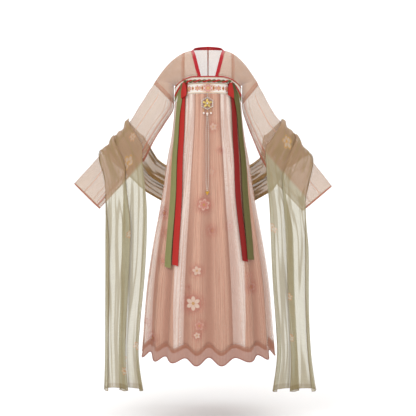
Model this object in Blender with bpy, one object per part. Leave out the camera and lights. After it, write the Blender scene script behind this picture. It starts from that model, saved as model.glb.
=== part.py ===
"""Qixiong ruqun: a sheer shan, a chest-high pleated skirt with a striped lining, ribbon ties,
a pendant with bead rows, and a long shawl (pibo) over both sleeves, in the hollow form that it
has when worn. Metres, +Z up, the front faces -Y, the origin is at the base of the neck.
Left is -X, the viewer's left. Run it with: blender --background --python part.py"""

from math import acos, asin, cos, degrees, pi, radians, sin, sqrt

import bmesh
import bpy
from mathutils import Vector

MM = 0.001
SEAM = 0.3 * MM
CLOTH = 1.2 * MM
SIDES = {"left": -1, "right": 1}

# Colour, roughness, metallic.
MATERIALS = {
    "shan_gauze": ((0.80, 0.62, 0.50), 0.8, 0.0),
    "red_satin": ((0.50, 0.035, 0.03), 0.5, 0.0),
    "green_satin": ((0.24, 0.29, 0.11), 0.5, 0.0),
    "white_satin": ((0.84, 0.80, 0.74), 0.6, 0.0),
    "embroidery": ((0.80, 0.52, 0.42), 0.7, 0.0),
    "gold": ((0.85, 0.58, 0.14), 0.3, 1.0),
    "silver": ((0.72, 0.70, 0.68), 0.3, 1.0),
    "pearl": ((0.88, 0.84, 0.78), 0.25, 0.0),
    "skirt_gauze": ((0.72, 0.40, 0.31), 0.8, 0.0),
    "lining_cream": ((0.82, 0.74, 0.66), 0.8, 0.0),
    "lining_pink": ((0.66, 0.34, 0.26), 0.8, 0.0),
    "pibo_gauze": ((0.55, 0.52, 0.38), 0.85, 0.0),
}

# Torso and chest band. The ring is an ellipse; angle 0 is the front, 90 degrees is +X.
TORSO_HALF_WIDTH = 0.144
TORSO_HALF_DEPTH = 0.102
BAND_TOP_FRONT = -0.1345
BAND_TOP_DROP = 0.0335
BAND_FLAT_ANGLE = 25.0
BAND_SLOPE_ANGLE = 60.0
BAND_HEIGHT = 0.0710
BAND_COLUMNS = 48
PANEL_EDGES = (0.0262, 0.0700)
PANEL_HALF_ANGLE = 37.5
BAND_INSIDE = 0.7 * MM
BAND_OUTSIDE = 3.7 * MM

# Half-width and half-depth of the skirt over its flutes' crests, at each height.
SKIRT_SHAPE = (
    # z, half_width, half_depth
    (-0.125, 0.1478, 0.1058),
    (-0.170, 0.1478, 0.1058),
    (-0.225, 0.1496, 0.1092),
    (-0.264, 0.1507, 0.1148),
    (-0.336, 0.1575, 0.1272),
    (-0.400, 0.1665, 0.1400),
    (-0.500, 0.1860, 0.1580),
    (-0.662, 0.2110, 0.1900),
    (-0.885, 0.2520, 0.2290),
    (-1.070, 0.2780, 0.2570),
    (-1.360, 0.3005, 0.2880),
)

# Angles of the sixteen flutes' crests at the hem, in degrees.
CRESTS = (11, 36.5, 58.5, 81, 104, 126, 149, 171, 193, 215, 238, 262, 287, 312, 330, 350.5)
COLUMNS_PER_FLUTE = 4
SKIRT_COLUMNS = len(CRESTS) * COLUMNS_PER_FLUTE
PANEL_ROWS = (0.0, 0.03, 0.09, 0.18, 0.30, 0.44, 0.58, 0.72, 0.86, 1.0)
LINING_ROWS = (0.0, 0.03, 0.09, 0.18, 0.32, 0.54, 0.78, 1.0)
HEM_HEIGHT = -1.330
HEM_WAVE = 0.017
PLEAT_DEPTH = 1.2 * MM
PLEAT_FADE = 0.45
FLUTE_DEPTH_TOP = 0.6 * MM
FLUTE_DEPTH_HEM = 15.0 * MM
LINING_GAP_TOP = 0.8 * MM
LINING_GAP_HEM = 5.0 * MM
LINING_LENGTH = 0.965

# Outer panels and lining gores run between these columns of the skirt.
PANEL_SEAMS = (58, 66, 74, 82, 90, 98, 106, 114, 122)
LINING_GORES = (
    # first_column, last_column, material
    (58, 66, "lining_pink"),
    (66, 68, "lining_cream"),
    (68, 74, "lining_pink"),
    (74, 78, "lining_cream"),
    (78, 84, "lining_pink"),
    (84, 86, "lining_cream"),
    (86, 94, "lining_pink"),
    (94, 102, "lining_pink"),
    (102, 104, "lining_cream"),
    (104, 110, "lining_pink"),
    (110, 113, "lining_cream"),
    (113, 120, "lining_pink"),
    (120, 122, "lining_cream"),
)

# Sleeves: at each station along the arm, the upper edge, the lower edge and the half-depth.
SLEEVES = {
    "left": (
        # top_x, top_z, low_x, low_z, half_depth
        (0.2336, -0.134, 0.1585, -0.155, 0.038),
        (0.2520, -0.163, 0.1530, -0.214, 0.038),
        (0.2730, -0.195, 0.1570, -0.268, 0.036),
        (0.3180, -0.267, 0.1970, -0.335, 0.033),
        (0.3660, -0.338, 0.2420, -0.408, 0.031),
        (0.421, -0.398, 0.290, -0.495, 0.029),
        (0.478, -0.458, 0.347, -0.556, 0.027),
        (0.536, -0.525, 0.411, -0.628, 0.025),
        (0.5936, -0.592, 0.480, -0.704, 0.024),
    ),
    "right": (
        (0.2177, -0.137, 0.1585, -0.155, 0.038),
        (0.2335, -0.168, 0.1525, -0.216, 0.038),
        (0.2550, -0.208, 0.1560, -0.278, 0.036),
        (0.2880, -0.268, 0.1810, -0.352, 0.033),
        (0.330, -0.320, 0.213, -0.430, 0.031),
        (0.376, -0.371, 0.249, -0.502, 0.029),
        (0.430, -0.440, 0.296, -0.578, 0.027),
        (0.490, -0.522, 0.356, -0.646, 0.025),
        (0.549, -0.603, 0.4179, -0.714, 0.024),
    ),
}
SLEEVE_STATIONS = (0, 0.5, 1, 2, 2.8, 3.5, 4.2, 4.9, 5.6, 6.4, 7.2, 8)
SLEEVE_ANGLES = (0, 15, 30, 45, 60, 90, 120, 150, 165, 180, 195, 210, 240, 270, 300, 315, 330, 345)
SLEEVE_FOLD = 2.5 * MM
SLEEVE_FOLDS_ROUND = 3

# Shan: rows up the front, over the shoulder and down the back. The lowest end at the side seam,
# two follow the band's top edge, and the rest end on the armhole ring, whose angle is 180
# degrees under the arm and 0 at the shoulder.
SHAN_SIDE_ROWS = (-0.45, -0.35, -0.265, -0.205)
SHAN_RIM_ROWS = (
    # rise_at_middle, rise_at_side, out_at_side
    (0.005, 0.005, 0.0),
    (0.012, 0.013, 0.0145),
)
SHAN_FRONT_ROWS = (
    # edge_z, armhole_angle
    (-0.099, 150),
    (-0.082, 120),
    (-0.065, 90),
    (-0.047, 60),
    (-0.026, 30),
    (-0.003, 0),
)
SHAN_NECK_ROWS = (
    # neck_angle, armhole_angle
    (30, 30),
    (60, 60),
    (90, 90),
)
SHAN_BACK_ROWS = (
    # centre_back_z, armhole_angle
    (-0.045, 120),
    (-0.105, 150),
)
SHOULDER_ARRIVE = (0.030, 0.0, -0.044)
UNDERARM_ARRIVE = (0.015, 0.030, 0.0)
SHAN_COLUMNS = 8
NECK_HALF_WIDTH = 0.0745
NECK_DEPTH = 0.060
NECK_RISE = 0.021
NECK_SIDE_Z = -0.003
NECK_ARCH_POWER = 0.7
FRONT_EDGE_SLOPE = 0.2432
FRONT_EDGE_LEAST = 0.0175
CHEST_DEPTH_BELOW = 0.15
COLLAR_WIDTH = 0.011
COLLAR_GAP = 0.5 * MM
COLLAR_OUTSIDE = 0.3 * MM
COLLAR_INSIDE = 1.5 * MM

# Ties.
TIE_WIDTH = 0.015
WRAP_FIRST_ANGLE = 52.5
WRAP_STEP = 7.5
WRAPS = (
    # name, material, below_top_at_knot, below_top_at_back
    ("wrap_red", "red_satin", 0.015, 0.036),
    ("wrap_green", "green_satin", 0.031, 0.052),
)
WRAP_SETTLED_ANGLE = 78.0
CORD_HEIGHT = -0.1525
CORD_RADIUS = 3.35 * MM
CORD_HELIX = 3.6 * MM
CORD_TURNS = 4.5
CORD_ENDS = (-35.5, 32.5)
CORD_POINTS = 35
KNOT_ANGLES = {"left": -40.5, "right": 37.5}
KNOT_RADIUS = (0.0085, 0.0060, 0.0065)
KNOT_RISE = 0.002
LOOP_ANGLES = {"left": -41.0, "right": 38.5}
LOOP_ROWS = (
    # z, half_width
    (-0.1571, 0.0045),
    (-0.1700, 0.0095),
    (-0.1850, 0.0130),
    (-0.2010, 0.0142),
    (-0.2165, 0.0135),
)
LOOP_SLANT = 0.006
LOOP_BACK = 8.8 * MM
LOOP_DEPTH = 3.6 * MM
GREEN_OUT = 4.0 * MM
RED_OUT = 0.9 * MM
# Each tail's name, material, width and offset, then its angle and z down the band and skirt.
TAILS = (
    ("tail_green_left", "green_satin", 0.034, GREEN_OUT,
     ((-44.0, -0.1574), (-53.0, -0.235), (-57.0, -0.330), (-45.5, -0.620), (-39.6, -0.950))),
    ("tail_red_left", "red_satin", 0.030, RED_OUT,
     ((-40.0, -0.1567), (-46.0, -0.235), (-45.5, -0.330), (-36.5, -0.620), (-31.6, -0.940))),
    ("tail_red_right", "red_satin", 0.029, RED_OUT,
     ((39.0, -0.1610), (46.5, -0.235), (47.0, -0.330), (38.0, -0.620), (37.2, -0.924))),
    ("tail_green_right", "green_satin", 0.038, GREEN_OUT,
     ((42.0, -0.1574), (55.0, -0.235), (60.5, -0.330), (50.0, -0.620), (43.8, -0.918))),
)
TAIL_OVER_BAND = 2.0 * MM
TAIL_PLACES = (0, 1, 1.5, 2, 2.3, 2.6, 2.9, 3.2, 3.6, 4)
TAIL_SLANT = 0.003

# Pendant.
PENDANT_X = -0.0030
PENDANT_Z = -0.2500
PENDANT_OUT = 1.3 * MM
FRAME_OUTER = 0.0295
FRAME_INNER = 0.0250
FRAME_THICK = 3.0 * MM
FLOWER_TIP = 0.0215
FLOWER_VALLEY = 0.0105
FLOWER_THICK = 3.0 * MM
PEARLS = (
    # name, x, wire_top, pearl_centre, radius; the heights are below the pendant's centre
    ("pendant_pearl_left", -0.0155, 0.0185, 0.0410, 0.0040),
    ("pendant_pearl_middle", 0.0, 0.0270, 0.0430, 0.0046),
    ("pendant_pearl_right", 0.0155, 0.0185, 0.0410, 0.0040),
)
PEARL_OUT = 4.0 * MM
PEARL_SIDES = 8
PEARL_STEPS = 6
WIRE_RADIUS = 0.7 * MM
BEAD_RADIUS = 1.2 * MM
BEAD_ROW_SPREAD = 0.005
BEAD_BOTTOM = -0.6290
BEAD_POINTS = 12
END_BEAD_SIZE = (0.0085, 0.0045, 0.0080)

# Pibo: where its outer and inner edges cross the sleeve, in stations, at each angle round it.
PIBO_ARMS = {
    "left": (
        # angle, outer_station, inner_station
        (-105, 5.98, 4.00),
        (-90, 6.00, 3.95),
        (0, 5.85, 3.55),
        (90, 6.80, 4.15),
        (120, 7.20, 4.45),
    ),
    "right": (
        (-105, 6.00, 3.88),
        (-90, 6.10, 3.90),
        (0, 6.35, 3.80),
        (90, 7.30, 4.30),
        (120, 7.65, 4.45),
    ),
}
PIBO_ARM_ANGLES = (-105, -90, -60, -45, -30, -15, 0, 15, 30, 45, 60, 90, 120)
PIBO_FALLS = {
    "left": (
        # z, outer_x, inner_x
        (-0.45, 0.4540, 0.2620),
        (-0.75, 0.4540, 0.2680),
        (-0.95, 0.4540, 0.2740),
        (-1.10, 0.4540, 0.2880),
        (-1.28, 0.4550, 0.3055),
        (-1.38, 0.4560, 0.3050),
        (-1.52, 0.4590, 0.2820),
    ),
    "right": (
        (-0.45, 0.4460, 0.2640),
        (-0.75, 0.4460, 0.2740),
        (-0.95, 0.4460, 0.2800),
        (-1.10, 0.4450, 0.2900),
        (-1.28, 0.4520, 0.3055),
        (-1.38, 0.4600, 0.3050),
        (-1.52, 0.4800, 0.2820),
    ),
}
PIBO_BOTTOM = {"left": -1.497, "right": -1.500}
PIBO_FALL_ROWS = (0.0, 0.06, 0.14, 0.26, 0.40, 0.56, 0.74, 0.86, 1.0)
PIBO_FALL_Y = -0.040
PIBO_COLUMNS = 20
PIBO_FOLDS = 2
PIBO_ARM_FOLD = 3.5 * MM
PIBO_ARM_OVERLAP = 0.10
PIBO_FALL_FOLD = 11.0 * MM
PIBO_FALL_OVERLAP = 0.24
PIBO_BACK_FOLD = 9.0 * MM
PIBO_CLEAR = 0.7 * MM
PIBO_WALL = 1.0 * MM
PIBO_GAP = 0.45 * MM
# The shawl behind the skirt: its lower and upper edges, from the sleeve to the centre back.
PIBO_BACK = (
    # low_x, low_y, low_z, high_x, high_y, high_z
    (0.300, 0.090, -0.612, 0.228, 0.092, -0.460),
    (0.262, 0.122, -0.640, 0.212, 0.126, -0.482),
    (0.200, 0.168, -0.675, 0.176, 0.168, -0.506),
    (0.130, 0.206, -0.705, 0.120, 0.196, -0.530),
    (0.060, 0.226, -0.722, 0.058, 0.212, -0.546),
)
PIBO_CENTRE = (0.0, 0.232, -0.728, 0.0, 0.217, -0.551)


def clamp(value, low=0.0, high=1.0):
    return max(low, min(high, value))


def smooth(value):
    """0 to 1 with level ends."""
    value = clamp(value)
    return value * value * (3 - 2 * value)


def mix(a, b, share):
    return a + (b - a) * share


def row_at(table, position):
    """The row of a table at a fractional place, on a smooth curve through its rows."""
    last = len(table) - 1
    index = int(clamp(position, 0, last - 1e-9))
    t = position - index
    before = table[max(index - 1, 0)]
    start = table[index]
    end = table[min(index + 1, last)]
    after = table[min(index + 2, last)]
    found = []
    for p0, p1, p2, p3 in zip(before, start, end, after):
        slope_in = (p2 - p0) / 2
        slope_out = (p3 - p1) / 2
        found.append(
            (2 * t**3 - 3 * t**2 + 1) * p1
            + (t**3 - 2 * t**2 + t) * slope_in
            + (3 * t**2 - 2 * t**3) * p2
            + (t**3 - t**2) * slope_out
        )
    return found


def look_up(table, key):
    """The other columns of a table at this value of its first column, in straight steps."""
    rows = sorted(table)
    if key <= rows[0][0]:
        return rows[0][1:]
    for low, high in zip(rows, rows[1:]):
        if key <= high[0]:
            share = (key - low[0]) / (high[0] - low[0])
            return [mix(a, b, share) for a, b in zip(low[1:], high[1:])]
    return rows[-1][1:]


def material(name):
    """The Principled material of this name, made once."""
    made = bpy.data.materials.get(name)
    if made:
        return made
    colour, roughness, metallic = MATERIALS[name]
    made = bpy.data.materials.new(name)
    made.use_nodes = True
    shader = made.node_tree.nodes["Principled BSDF"]
    shader.inputs["Base Color"].default_value = (*colour, 1)
    shader.inputs["Roughness"].default_value = roughness
    shader.inputs["Metallic"].default_value = metallic
    return made


def add_object(name, data, material_name):
    obj = bpy.data.objects.new(name, data)
    data.materials.append(material(material_name))
    bpy.context.scene.collection.objects.link(obj)
    return obj


def finish_mesh(name, bm, material_name):
    """A closed bmesh made into an object whose faces point outwards."""
    bmesh.ops.recalc_face_normals(bm, faces=bm.faces)
    mesh = bpy.data.meshes.new(name)
    bm.to_mesh(mesh)
    bm.free()
    mesh.shade_smooth()
    mesh.set_sharp_from_angle(angle=radians(40))
    return add_object(name, mesh, material_name)


def wall(name, outer, inner, material_name, ring=False):
    """A closed wall between two grids of points with the same rows and columns. A ring joins
    its last column to its first, so it is a tube that is open at its first and last rows."""
    bm = bmesh.new()
    outside = [[bm.verts.new(point) for point in row] for row in outer]
    inside = [[bm.verts.new(point) for point in row] for row in inner]
    rows = len(outer)
    columns = len(outer[0])
    spans = columns if ring else columns - 1

    def quad(a, b, c, d):
        bm.faces.new((a, b, c))
        bm.faces.new((a, c, d))

    for c in range(spans):
        n = (c + 1) % columns
        for r in range(rows - 1):
            for layer in (outside, inside):
                quad(layer[r][c], layer[r + 1][c], layer[r + 1][n], layer[r][n])
        for r in (0, rows - 1):
            quad(outside[r][c], outside[r][n], inside[r][n], inside[r][c])
    if not ring:
        for r in range(rows - 1):
            for c in (0, columns - 1):
                quad(outside[r][c], outside[r + 1][c], inside[r + 1][c], inside[r][c])
    return finish_mesh(name, bm, material_name)


def normals_of(grid, ring=False):
    """Unit normals of a grid, the column direction crossed with the row direction."""
    rows = len(grid)
    columns = len(grid[0])
    found = []
    for r in range(rows):
        line = []
        for c in range(columns):
            after = (c + 1) % columns if ring else min(c + 1, columns - 1)
            before = (c - 1) % columns if ring else max(c - 1, 0)
            across = grid[r][after] - grid[r][before]
            along = grid[min(r + 1, rows - 1)][c] - grid[max(r - 1, 0)][c]
            line.append(across.cross(along).normalized())
        found.append(line)
    return found


def moved_out(grid, distance):
    """The grid moved along its own normals."""
    normals = normals_of(grid)
    return [
        [point + normal * distance for point, normal in zip(row, line)]
        for row, line in zip(grid, normals)
    ]


def shortened(rows, from_start, from_end, gap):
    """The rows with the first and last ones moved in a little, to leave a gap to the next."""
    rows = [list(row) for row in rows]
    for wanted, edge, beside in ((from_start, 0, 1), (from_end, -1, -2)):
        if wanted:
            rows[edge] = [
                point + (inward - point).normalized() * gap
                for point, inward in zip(rows[edge], rows[beside])
            ]
    return rows


def sheet(name, grid, thickness, material_name):
    """A wall of this thickness with the grid at its middle."""
    return wall(
        name, moved_out(grid, thickness / 2), moved_out(grid, -thickness / 2), material_name
    )


def tube(name, points, radius, material_name, sides_step=1):
    """A solid round cord through these points, with closed ends."""
    curve = bpy.data.curves.new(name, "CURVE")
    curve.dimensions = "3D"
    curve.bevel_depth = radius
    curve.bevel_resolution = sides_step
    curve.use_fill_caps = True
    spline = curve.splines.new("POLY")
    spline.points.add(len(points) - 1)
    for target, point in zip(spline.points, points):
        target.co = (*point, 1)
    return add_object(name, curve, material_name)


def ball(name, place, radii, material_name, segments=10, rings=6):
    """A ball or an egg shape, as a UV sphere with these three radii."""
    bm = bmesh.new()
    bmesh.ops.create_uvsphere(bm, u_segments=segments, v_segments=rings, radius=1)
    bmesh.ops.scale(bm, vec=Vector(radii), verts=bm.verts)
    bmesh.ops.translate(bm, vec=Vector(place), verts=bm.verts)
    return finish_mesh(name, bm, material_name)


# Torso ring, band and skirt.


def ring_point(angle, half_width, half_depth, z):
    turn = radians(angle)
    return Vector((half_width * sin(turn), -half_depth * cos(turn), z))


def folded_angle(angle):
    """The angle from the front, 0 to 180 degrees, on either side."""
    angle = abs(angle) % 360
    return 360 - angle if angle > 180 else angle


def band_top(angle):
    slope = (folded_angle(angle) - BAND_FLAT_ANGLE) / BAND_SLOPE_ANGLE
    return BAND_TOP_FRONT - BAND_TOP_DROP * smooth(slope)


def band_point(angle, below_top, out):
    """A point round the chest: out is its distance from the shan's outer face."""
    return ring_point(
        angle, TORSO_HALF_WIDTH + out, TORSO_HALF_DEPTH + out, band_top(angle) - below_top
    )


def column_angle(column):
    """The angle of a skirt column; columns are evenly shared out between the crests."""
    flute, part = divmod(column % SKIRT_COLUMNS, COLUMNS_PER_FLUTE)
    start = CRESTS[flute]
    end = CRESTS[(flute + 1) % len(CRESTS)]
    return start + ((end - start) % 360) * part / COLUMNS_PER_FLUTE


def flute_wave(column):
    """1 on a crest of the hem's flutes and -1 in a valley."""
    return cos(2 * pi * column / COLUMNS_PER_FLUTE)


def pleat_wave(column):
    """1 on a pleat's ridge and -1 beside it: two pleats for each flute."""
    return cos(pi * column)


def skirt_inset(column, share):
    """How far a point lies inside the crests' envelope, at this share of the skirt's length."""
    pleat = PLEAT_DEPTH * (1 - smooth(share / PLEAT_FADE))
    flute = mix(FLUTE_DEPTH_TOP, FLUTE_DEPTH_HEM, share**1.4)
    return pleat * (1 - pleat_wave(column)) / 2 + flute * (1 - flute_wave(column)) / 2


def skirt_envelope(angle, z, out):
    """A point on the skirt's outline over its crests, moved out."""
    half_width, half_depth = look_up(SKIRT_SHAPE, z)
    return ring_point(angle, half_width + out, half_depth + out, z)


def skirt_point(column, share, out):
    angle = column_angle(column)
    top = band_top(angle) - BAND_HEIGHT - SEAM
    hem = HEM_HEIGHT - HEM_WAVE * flute_wave(column)
    return skirt_envelope(angle, mix(top, hem, share), out - skirt_inset(column, share))


def skirt_wall(name, first, last, shares, inset_top, inset_hem, material_name):
    """One panel of the skirt between two seams, a hair short of each."""

    def grid(extra):
        lines = []
        for share in shares:
            out = -extra - mix(inset_top, inset_hem, share)
            lines.append([skirt_point(column, share, out) for column in range(first, last + 1)])
        for line in lines:
            for edge, beside in ((0, 1), (-1, -2)):
                towards = (line[beside] - line[edge]).normalized()
                line[edge] = line[edge] + towards * SEAM / 2
        return lines

    return wall(name, grid(0), grid(CLOTH), material_name)


def make_skirt():
    for number, (first, last) in enumerate(zip(PANEL_SEAMS, PANEL_SEAMS[1:]), 1):
        skirt_wall(f"skirt_panel_{number}", first, last, PANEL_ROWS, 0, 0, "skirt_gauze")
    inset_top = CLOTH + LINING_GAP_TOP
    inset_hem = CLOTH + LINING_GAP_HEM
    shares = [share * LINING_LENGTH for share in LINING_ROWS]
    for number, (first, last, colour) in enumerate(LINING_GORES, 1):
        name = f"lining_gore_{number:02d}"
        skirt_wall(name, first, last, shares, inset_top, inset_hem, colour)


def band_ring(name, below, outs, material_name):
    """A strip right round the band: below holds its upper and lower edges, outs its faces."""
    angles = [360 * step / BAND_COLUMNS for step in range(BAND_COLUMNS)]
    inner, outer = (
        [[band_point(angle, drop, out) for angle in angles] for drop in below] for out in outs
    )
    return wall(name, outer, inner, material_name, ring=True)


def make_band():
    band_ring("chest_band", (0, BAND_HEIGHT), (BAND_INSIDE, BAND_OUTSIDE), "white_satin")
    band_ring(
        "band_piping", (-3.3 * MM, -SEAM), (BAND_INSIDE, BAND_OUTSIDE + 0.4 * MM), "red_satin"
    )
    face = BAND_OUTSIDE + SEAM
    band_ring("band_gold_line", (1.2 * MM, 3.6 * MM), (face, face + 0.7 * MM), "gold")
    angles = [PANEL_HALF_ANGLE * (step / 5 - 1) for step in range(11)]
    face_inner, face_outer = (
        [[band_point(angle, drop, out) for angle in angles] for drop in PANEL_EDGES]
        for out in (face, face + 0.9 * MM)
    )
    wall("band_panel", face_outer, face_inner, "embroidery")


# Sleeves.


def sleeve_point(side, station, angle, out):
    """A point round the sleeve: angle 0 is its upper edge, 90 its front and 180 its lower edge."""
    top_x, top_z, low_x, low_z, half_depth = row_at(SLEEVES[side], station)
    sign = SIDES[side]
    top = Vector((sign * top_x, 0, top_z))
    low = Vector((sign * low_x, 0, low_z))
    half = (top - low) / 2
    turn = radians(angle)
    fold = SLEEVE_FOLD * sin(SLEEVE_FOLDS_ROUND * turn + 0.9 * station) * smooth((station - 1) / 2)
    out += fold
    across = half.normalized() * (half.length + out) * cos(turn)
    return (top + low) / 2 + across - Vector((0, (half_depth + out) * sin(turn), 0))


def make_sleeves():
    for side, sign in SIDES.items():
        start = Vector((sign * SHOULDER_ARRIVE[0], 0, SHOULDER_ARRIVE[2])).normalized() * 2 * SEAM
        outer, inner = (
            [
                [
                    sleeve_point(side, station, angle, out) + (start if station == 0 else Vector())
                    for angle in SLEEVE_ANGLES
                ]
                for station in SLEEVE_STATIONS
            ]
            for out in (0, -CLOTH)
        )
        wall(f"sleeve_{side}", outer, inner, "shan_gauze", ring=True)


# Shan body and collar.


def front_depth(z):
    """How far the chest stands forward of the shoulder at this height."""
    rise = clamp((z + CHEST_DEPTH_BELOW) / (NECK_SIDE_Z + CHEST_DEPTH_BELOW))
    return TORSO_HALF_DEPTH * sqrt(1 - rise * rise)


def front_edge(sign, z):
    """The collar seam down the front."""
    x = max(FRONT_EDGE_LEAST, NECK_HALF_WIDTH + FRONT_EDGE_SLOPE * z)
    y = -front_depth(z) * sqrt(1 - (x / TORSO_HALF_WIDTH) ** 2)
    return Vector((sign * x, y, z))


def neck_edge(sign, neck_angle):
    """The collar seam round the back of the neck: 0 at the shoulder, 90 at the centre back."""
    turn = radians(neck_angle)
    x = max(SEAM / 2, (NECK_HALF_WIDTH + FRONT_EDGE_SLOPE * NECK_SIDE_Z) * cos(turn))
    rise = NECK_RISE * sin(turn) ** NECK_ARCH_POWER
    return Vector((sign * x, NECK_DEPTH * sin(turn), NECK_SIDE_Z + rise))


def back_edge(sign, z):
    """The centre back seam, a hair from the other half's."""
    top = NECK_SIDE_Z + NECK_RISE
    share = clamp((top - z) / 0.2)
    y = mix(NECK_DEPTH, TORSO_HALF_DEPTH, sin(share * pi / 2))
    return Vector((sign * SEAM / 2, y, z))


def armhole(side, angle):
    return sleeve_point(side, 0, angle, 0)


def bent_row(start, leave, end, arrive):
    """Points on the Bezier curve between two ends, with these two end directions."""
    first = start + leave
    second = end - arrive
    points = []
    for column in range(SHAN_COLUMNS + 1):
        t = column / SHAN_COLUMNS
        points.append(
            start * (1 - t) ** 3
            + first * 3 * t * (1 - t) ** 2
            + second * 3 * t * t * (1 - t)
            + end * t**3
        )
    return points


def side_row(sign, start, face):
    """A level row that ends at the side seam; face is -1 at the front and 1 at the back."""
    first = degrees(asin(abs(start.x) / TORSO_HALF_WIDTH))
    row = [start]
    for column in range(1, SHAN_COLUMNS + 1):
        angle = mix(first, 90, column / SHAN_COLUMNS)
        if face > 0:
            angle = 180 - angle
        row.append(ring_point(sign * angle, TORSO_HALF_WIDTH, TORSO_HALF_DEPTH, start.z))
    row[-1].y = face * SEAM / 2
    return row


def rim_row(sign, start, face, rise_at_middle, rise_at_side, out_at_side):
    """A row that follows the band's top edge, this far above it, and leans out at the side."""
    first = degrees(asin(abs(start.x) / TORSO_HALF_WIDTH))
    row = []
    for column in range(SHAN_COLUMNS + 1):
        share = column / SHAN_COLUMNS
        angle = mix(first, 90, share)
        if face > 0:
            angle = 180 - angle
        rise = mix(rise_at_middle, rise_at_side, share)
        row.append(band_point(sign * angle, -rise, out_at_side * share**4))
    row[-1].y = face * SEAM / 2
    return row


def armhole_row(side, start, face, angle):
    """A row that ends on the armhole ring."""
    sign = SIDES[side]
    end = armhole(side, -face * angle)
    under = sin(radians(angle) / 2) ** 4
    x, y, z = SHOULDER_ARRIVE
    shoulder = Vector((sign * x, y, z))
    x, y, z = UNDERARM_ARRIVE
    underarm = Vector((sign * x, -face * y, z))
    span = end - start
    leave = Vector((span.x * 0.50, 0, span.z * 0.06))
    return bent_row(start, leave, end, shoulder.lerp(underarm, under))


def shan_grid(side):
    sign = SIDES[side]
    rows = [side_row(sign, front_edge(sign, z), -1) for z in SHAN_SIDE_ROWS]
    for rises in SHAN_RIM_ROWS:
        z = BAND_TOP_FRONT + rises[0]
        rows.append(rim_row(sign, front_edge(sign, z), -1, *rises))
    for z, angle in SHAN_FRONT_ROWS:
        rows.append(armhole_row(side, front_edge(sign, z), -1, angle))
    for neck_angle, angle in SHAN_NECK_ROWS:
        rows.append(armhole_row(side, neck_edge(sign, neck_angle), 1, angle))
    for z, angle in SHAN_BACK_ROWS:
        rows.append(armhole_row(side, back_edge(sign, z), 1, angle))
    for rises in reversed(SHAN_RIM_ROWS):
        rows.append(rim_row(sign, back_edge(sign, 0), 1, *rises))
    rows += [side_row(sign, back_edge(sign, z), 1) for z in reversed(SHAN_SIDE_ROWS)]
    return rows


def make_shan():
    """Each half, and its lower front and back, which are tucked into the skirt and cut apart
    from it behind the band."""
    cut = len(SHAN_SIDE_ROWS) - 1
    for side, sign in SIDES.items():
        outer = shan_grid(side)
        inner = moved_out(outer, -sign * CLOTH)
        for row, outside in zip(inner, outer):
            row[0].x = sign * max(SEAM / 2, sign * row[0].x)
            if abs(outside[-1].y) < SEAM:
                row[-1].y = outside[-1].y
        last = len(outer) - 1
        for name, start, end in (
            ("shan_tuck_front", 0, cut),
            ("shan_body", cut, last - cut),
            ("shan_tuck_back", last - cut, last),
        ):
            outside, inside = (
                shortened(face[start : end + 1], start > 0, end < last, SEAM / 2)
                for face in (outer, inner)
            )
            wall(f"{name}_{side}", outside, inside, "shan_gauze")


def collar_stations():
    """Seam points and the directions across the collar, up the left front and down the right."""
    heights = (-0.45, -0.35, -0.265, -0.205, -0.165, -0.130, -0.095, -0.062, -0.032)
    stations = []
    for sign, order in ((-1, heights), (1, heights[::-1])):
        fronts = []
        for z in order:
            lift = 0.8 * (1 - clamp(-z / 0.07))
            fronts.append((front_edge(sign, z), Vector((-sign, 0, lift)).normalized()))
        necks = []
        for neck_angle in (0, 30, 60, 90):
            turn = radians(neck_angle)
            across = Vector((-sign * cos(turn), -0.15 * sin(turn), mix(0.8, 1, sin(turn))))
            necks.append((neck_edge(sign, neck_angle), across.normalized()))
        if sign < 0:
            stations += fronts + necks[:-1]
            middle = necks[-1]
            middle[0].x = 0
            stations.append(middle)
        else:
            stations += necks[-2::-1] + fronts
    return stations


def make_collar():
    grid = []
    for seam, across in collar_stations():
        grid.append([seam + across * COLLAR_WIDTH, seam + across * COLLAR_GAP])
    normals = normals_of(grid)
    outer, inner = (
        [
            [point + normal * out for point, normal in zip(row, line)]
            for row, line in zip(grid, normals)
        ]
        for out in (-COLLAR_OUTSIDE, COLLAR_INSIDE)
    )
    wall("collar", outer, inner, "red_satin")


# Ties.


def make_wraps():
    count = round((360 - 2 * WRAP_FIRST_ANGLE) / WRAP_STEP)
    angles = [WRAP_FIRST_ANGLE + WRAP_STEP * step for step in range(count + 1)]
    for name, material_name, start_below, settled_below in WRAPS:
        grids = []
        for out in (BAND_OUTSIDE + SEAM, BAND_OUTSIDE + SEAM + CLOTH):
            rows = [[], []]
            for angle in angles:
                turned = folded_angle(angle) - WRAP_FIRST_ANGLE
                share = smooth(turned / (WRAP_SETTLED_ANGLE - WRAP_FIRST_ANGLE))
                below = mix(start_below, settled_below, share)
                rows[0].append(band_point(angle, below - TIE_WIDTH / 2, out))
                rows[1].append(band_point(angle, below + TIE_WIDTH / 2, out))
            grids.append(rows)
        wall(name, grids[1], grids[0], material_name)


def make_cord():
    """Two ribbons twisted round each other in front of the band, from knot to knot."""
    middle_out = BAND_OUTSIDE + SEAM + CORD_HELIX + CORD_RADIUS
    for name, material_name, phase in (
        ("cord_red", "red_satin", 0),
        ("cord_green", "green_satin", pi),
    ):
        points = []
        for step in range(CORD_POINTS):
            share = step / (CORD_POINTS - 1)
            angle = mix(*CORD_ENDS, share)
            turn = 2 * pi * CORD_TURNS * share + phase
            below = band_top(angle) - CORD_HEIGHT + CORD_HELIX * cos(turn)
            points.append(band_point(angle, below, middle_out + CORD_HELIX * sin(turn)))
        tube(name, points, CORD_RADIUS, material_name)


def make_knots():
    for side, angle in KNOT_ANGLES.items():
        out = BAND_OUTSIDE + SEAM + KNOT_RADIUS[1] * 1.06
        place = band_point(angle, band_top(angle) - CORD_HEIGHT - KNOT_RISE, out)
        knot = ball(f"knot_{side}", (0, 0, 0), KNOT_RADIUS, "green_satin", 12, 8)
        knot.location = place
        knot.rotation_euler.z = radians(angle)


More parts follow.
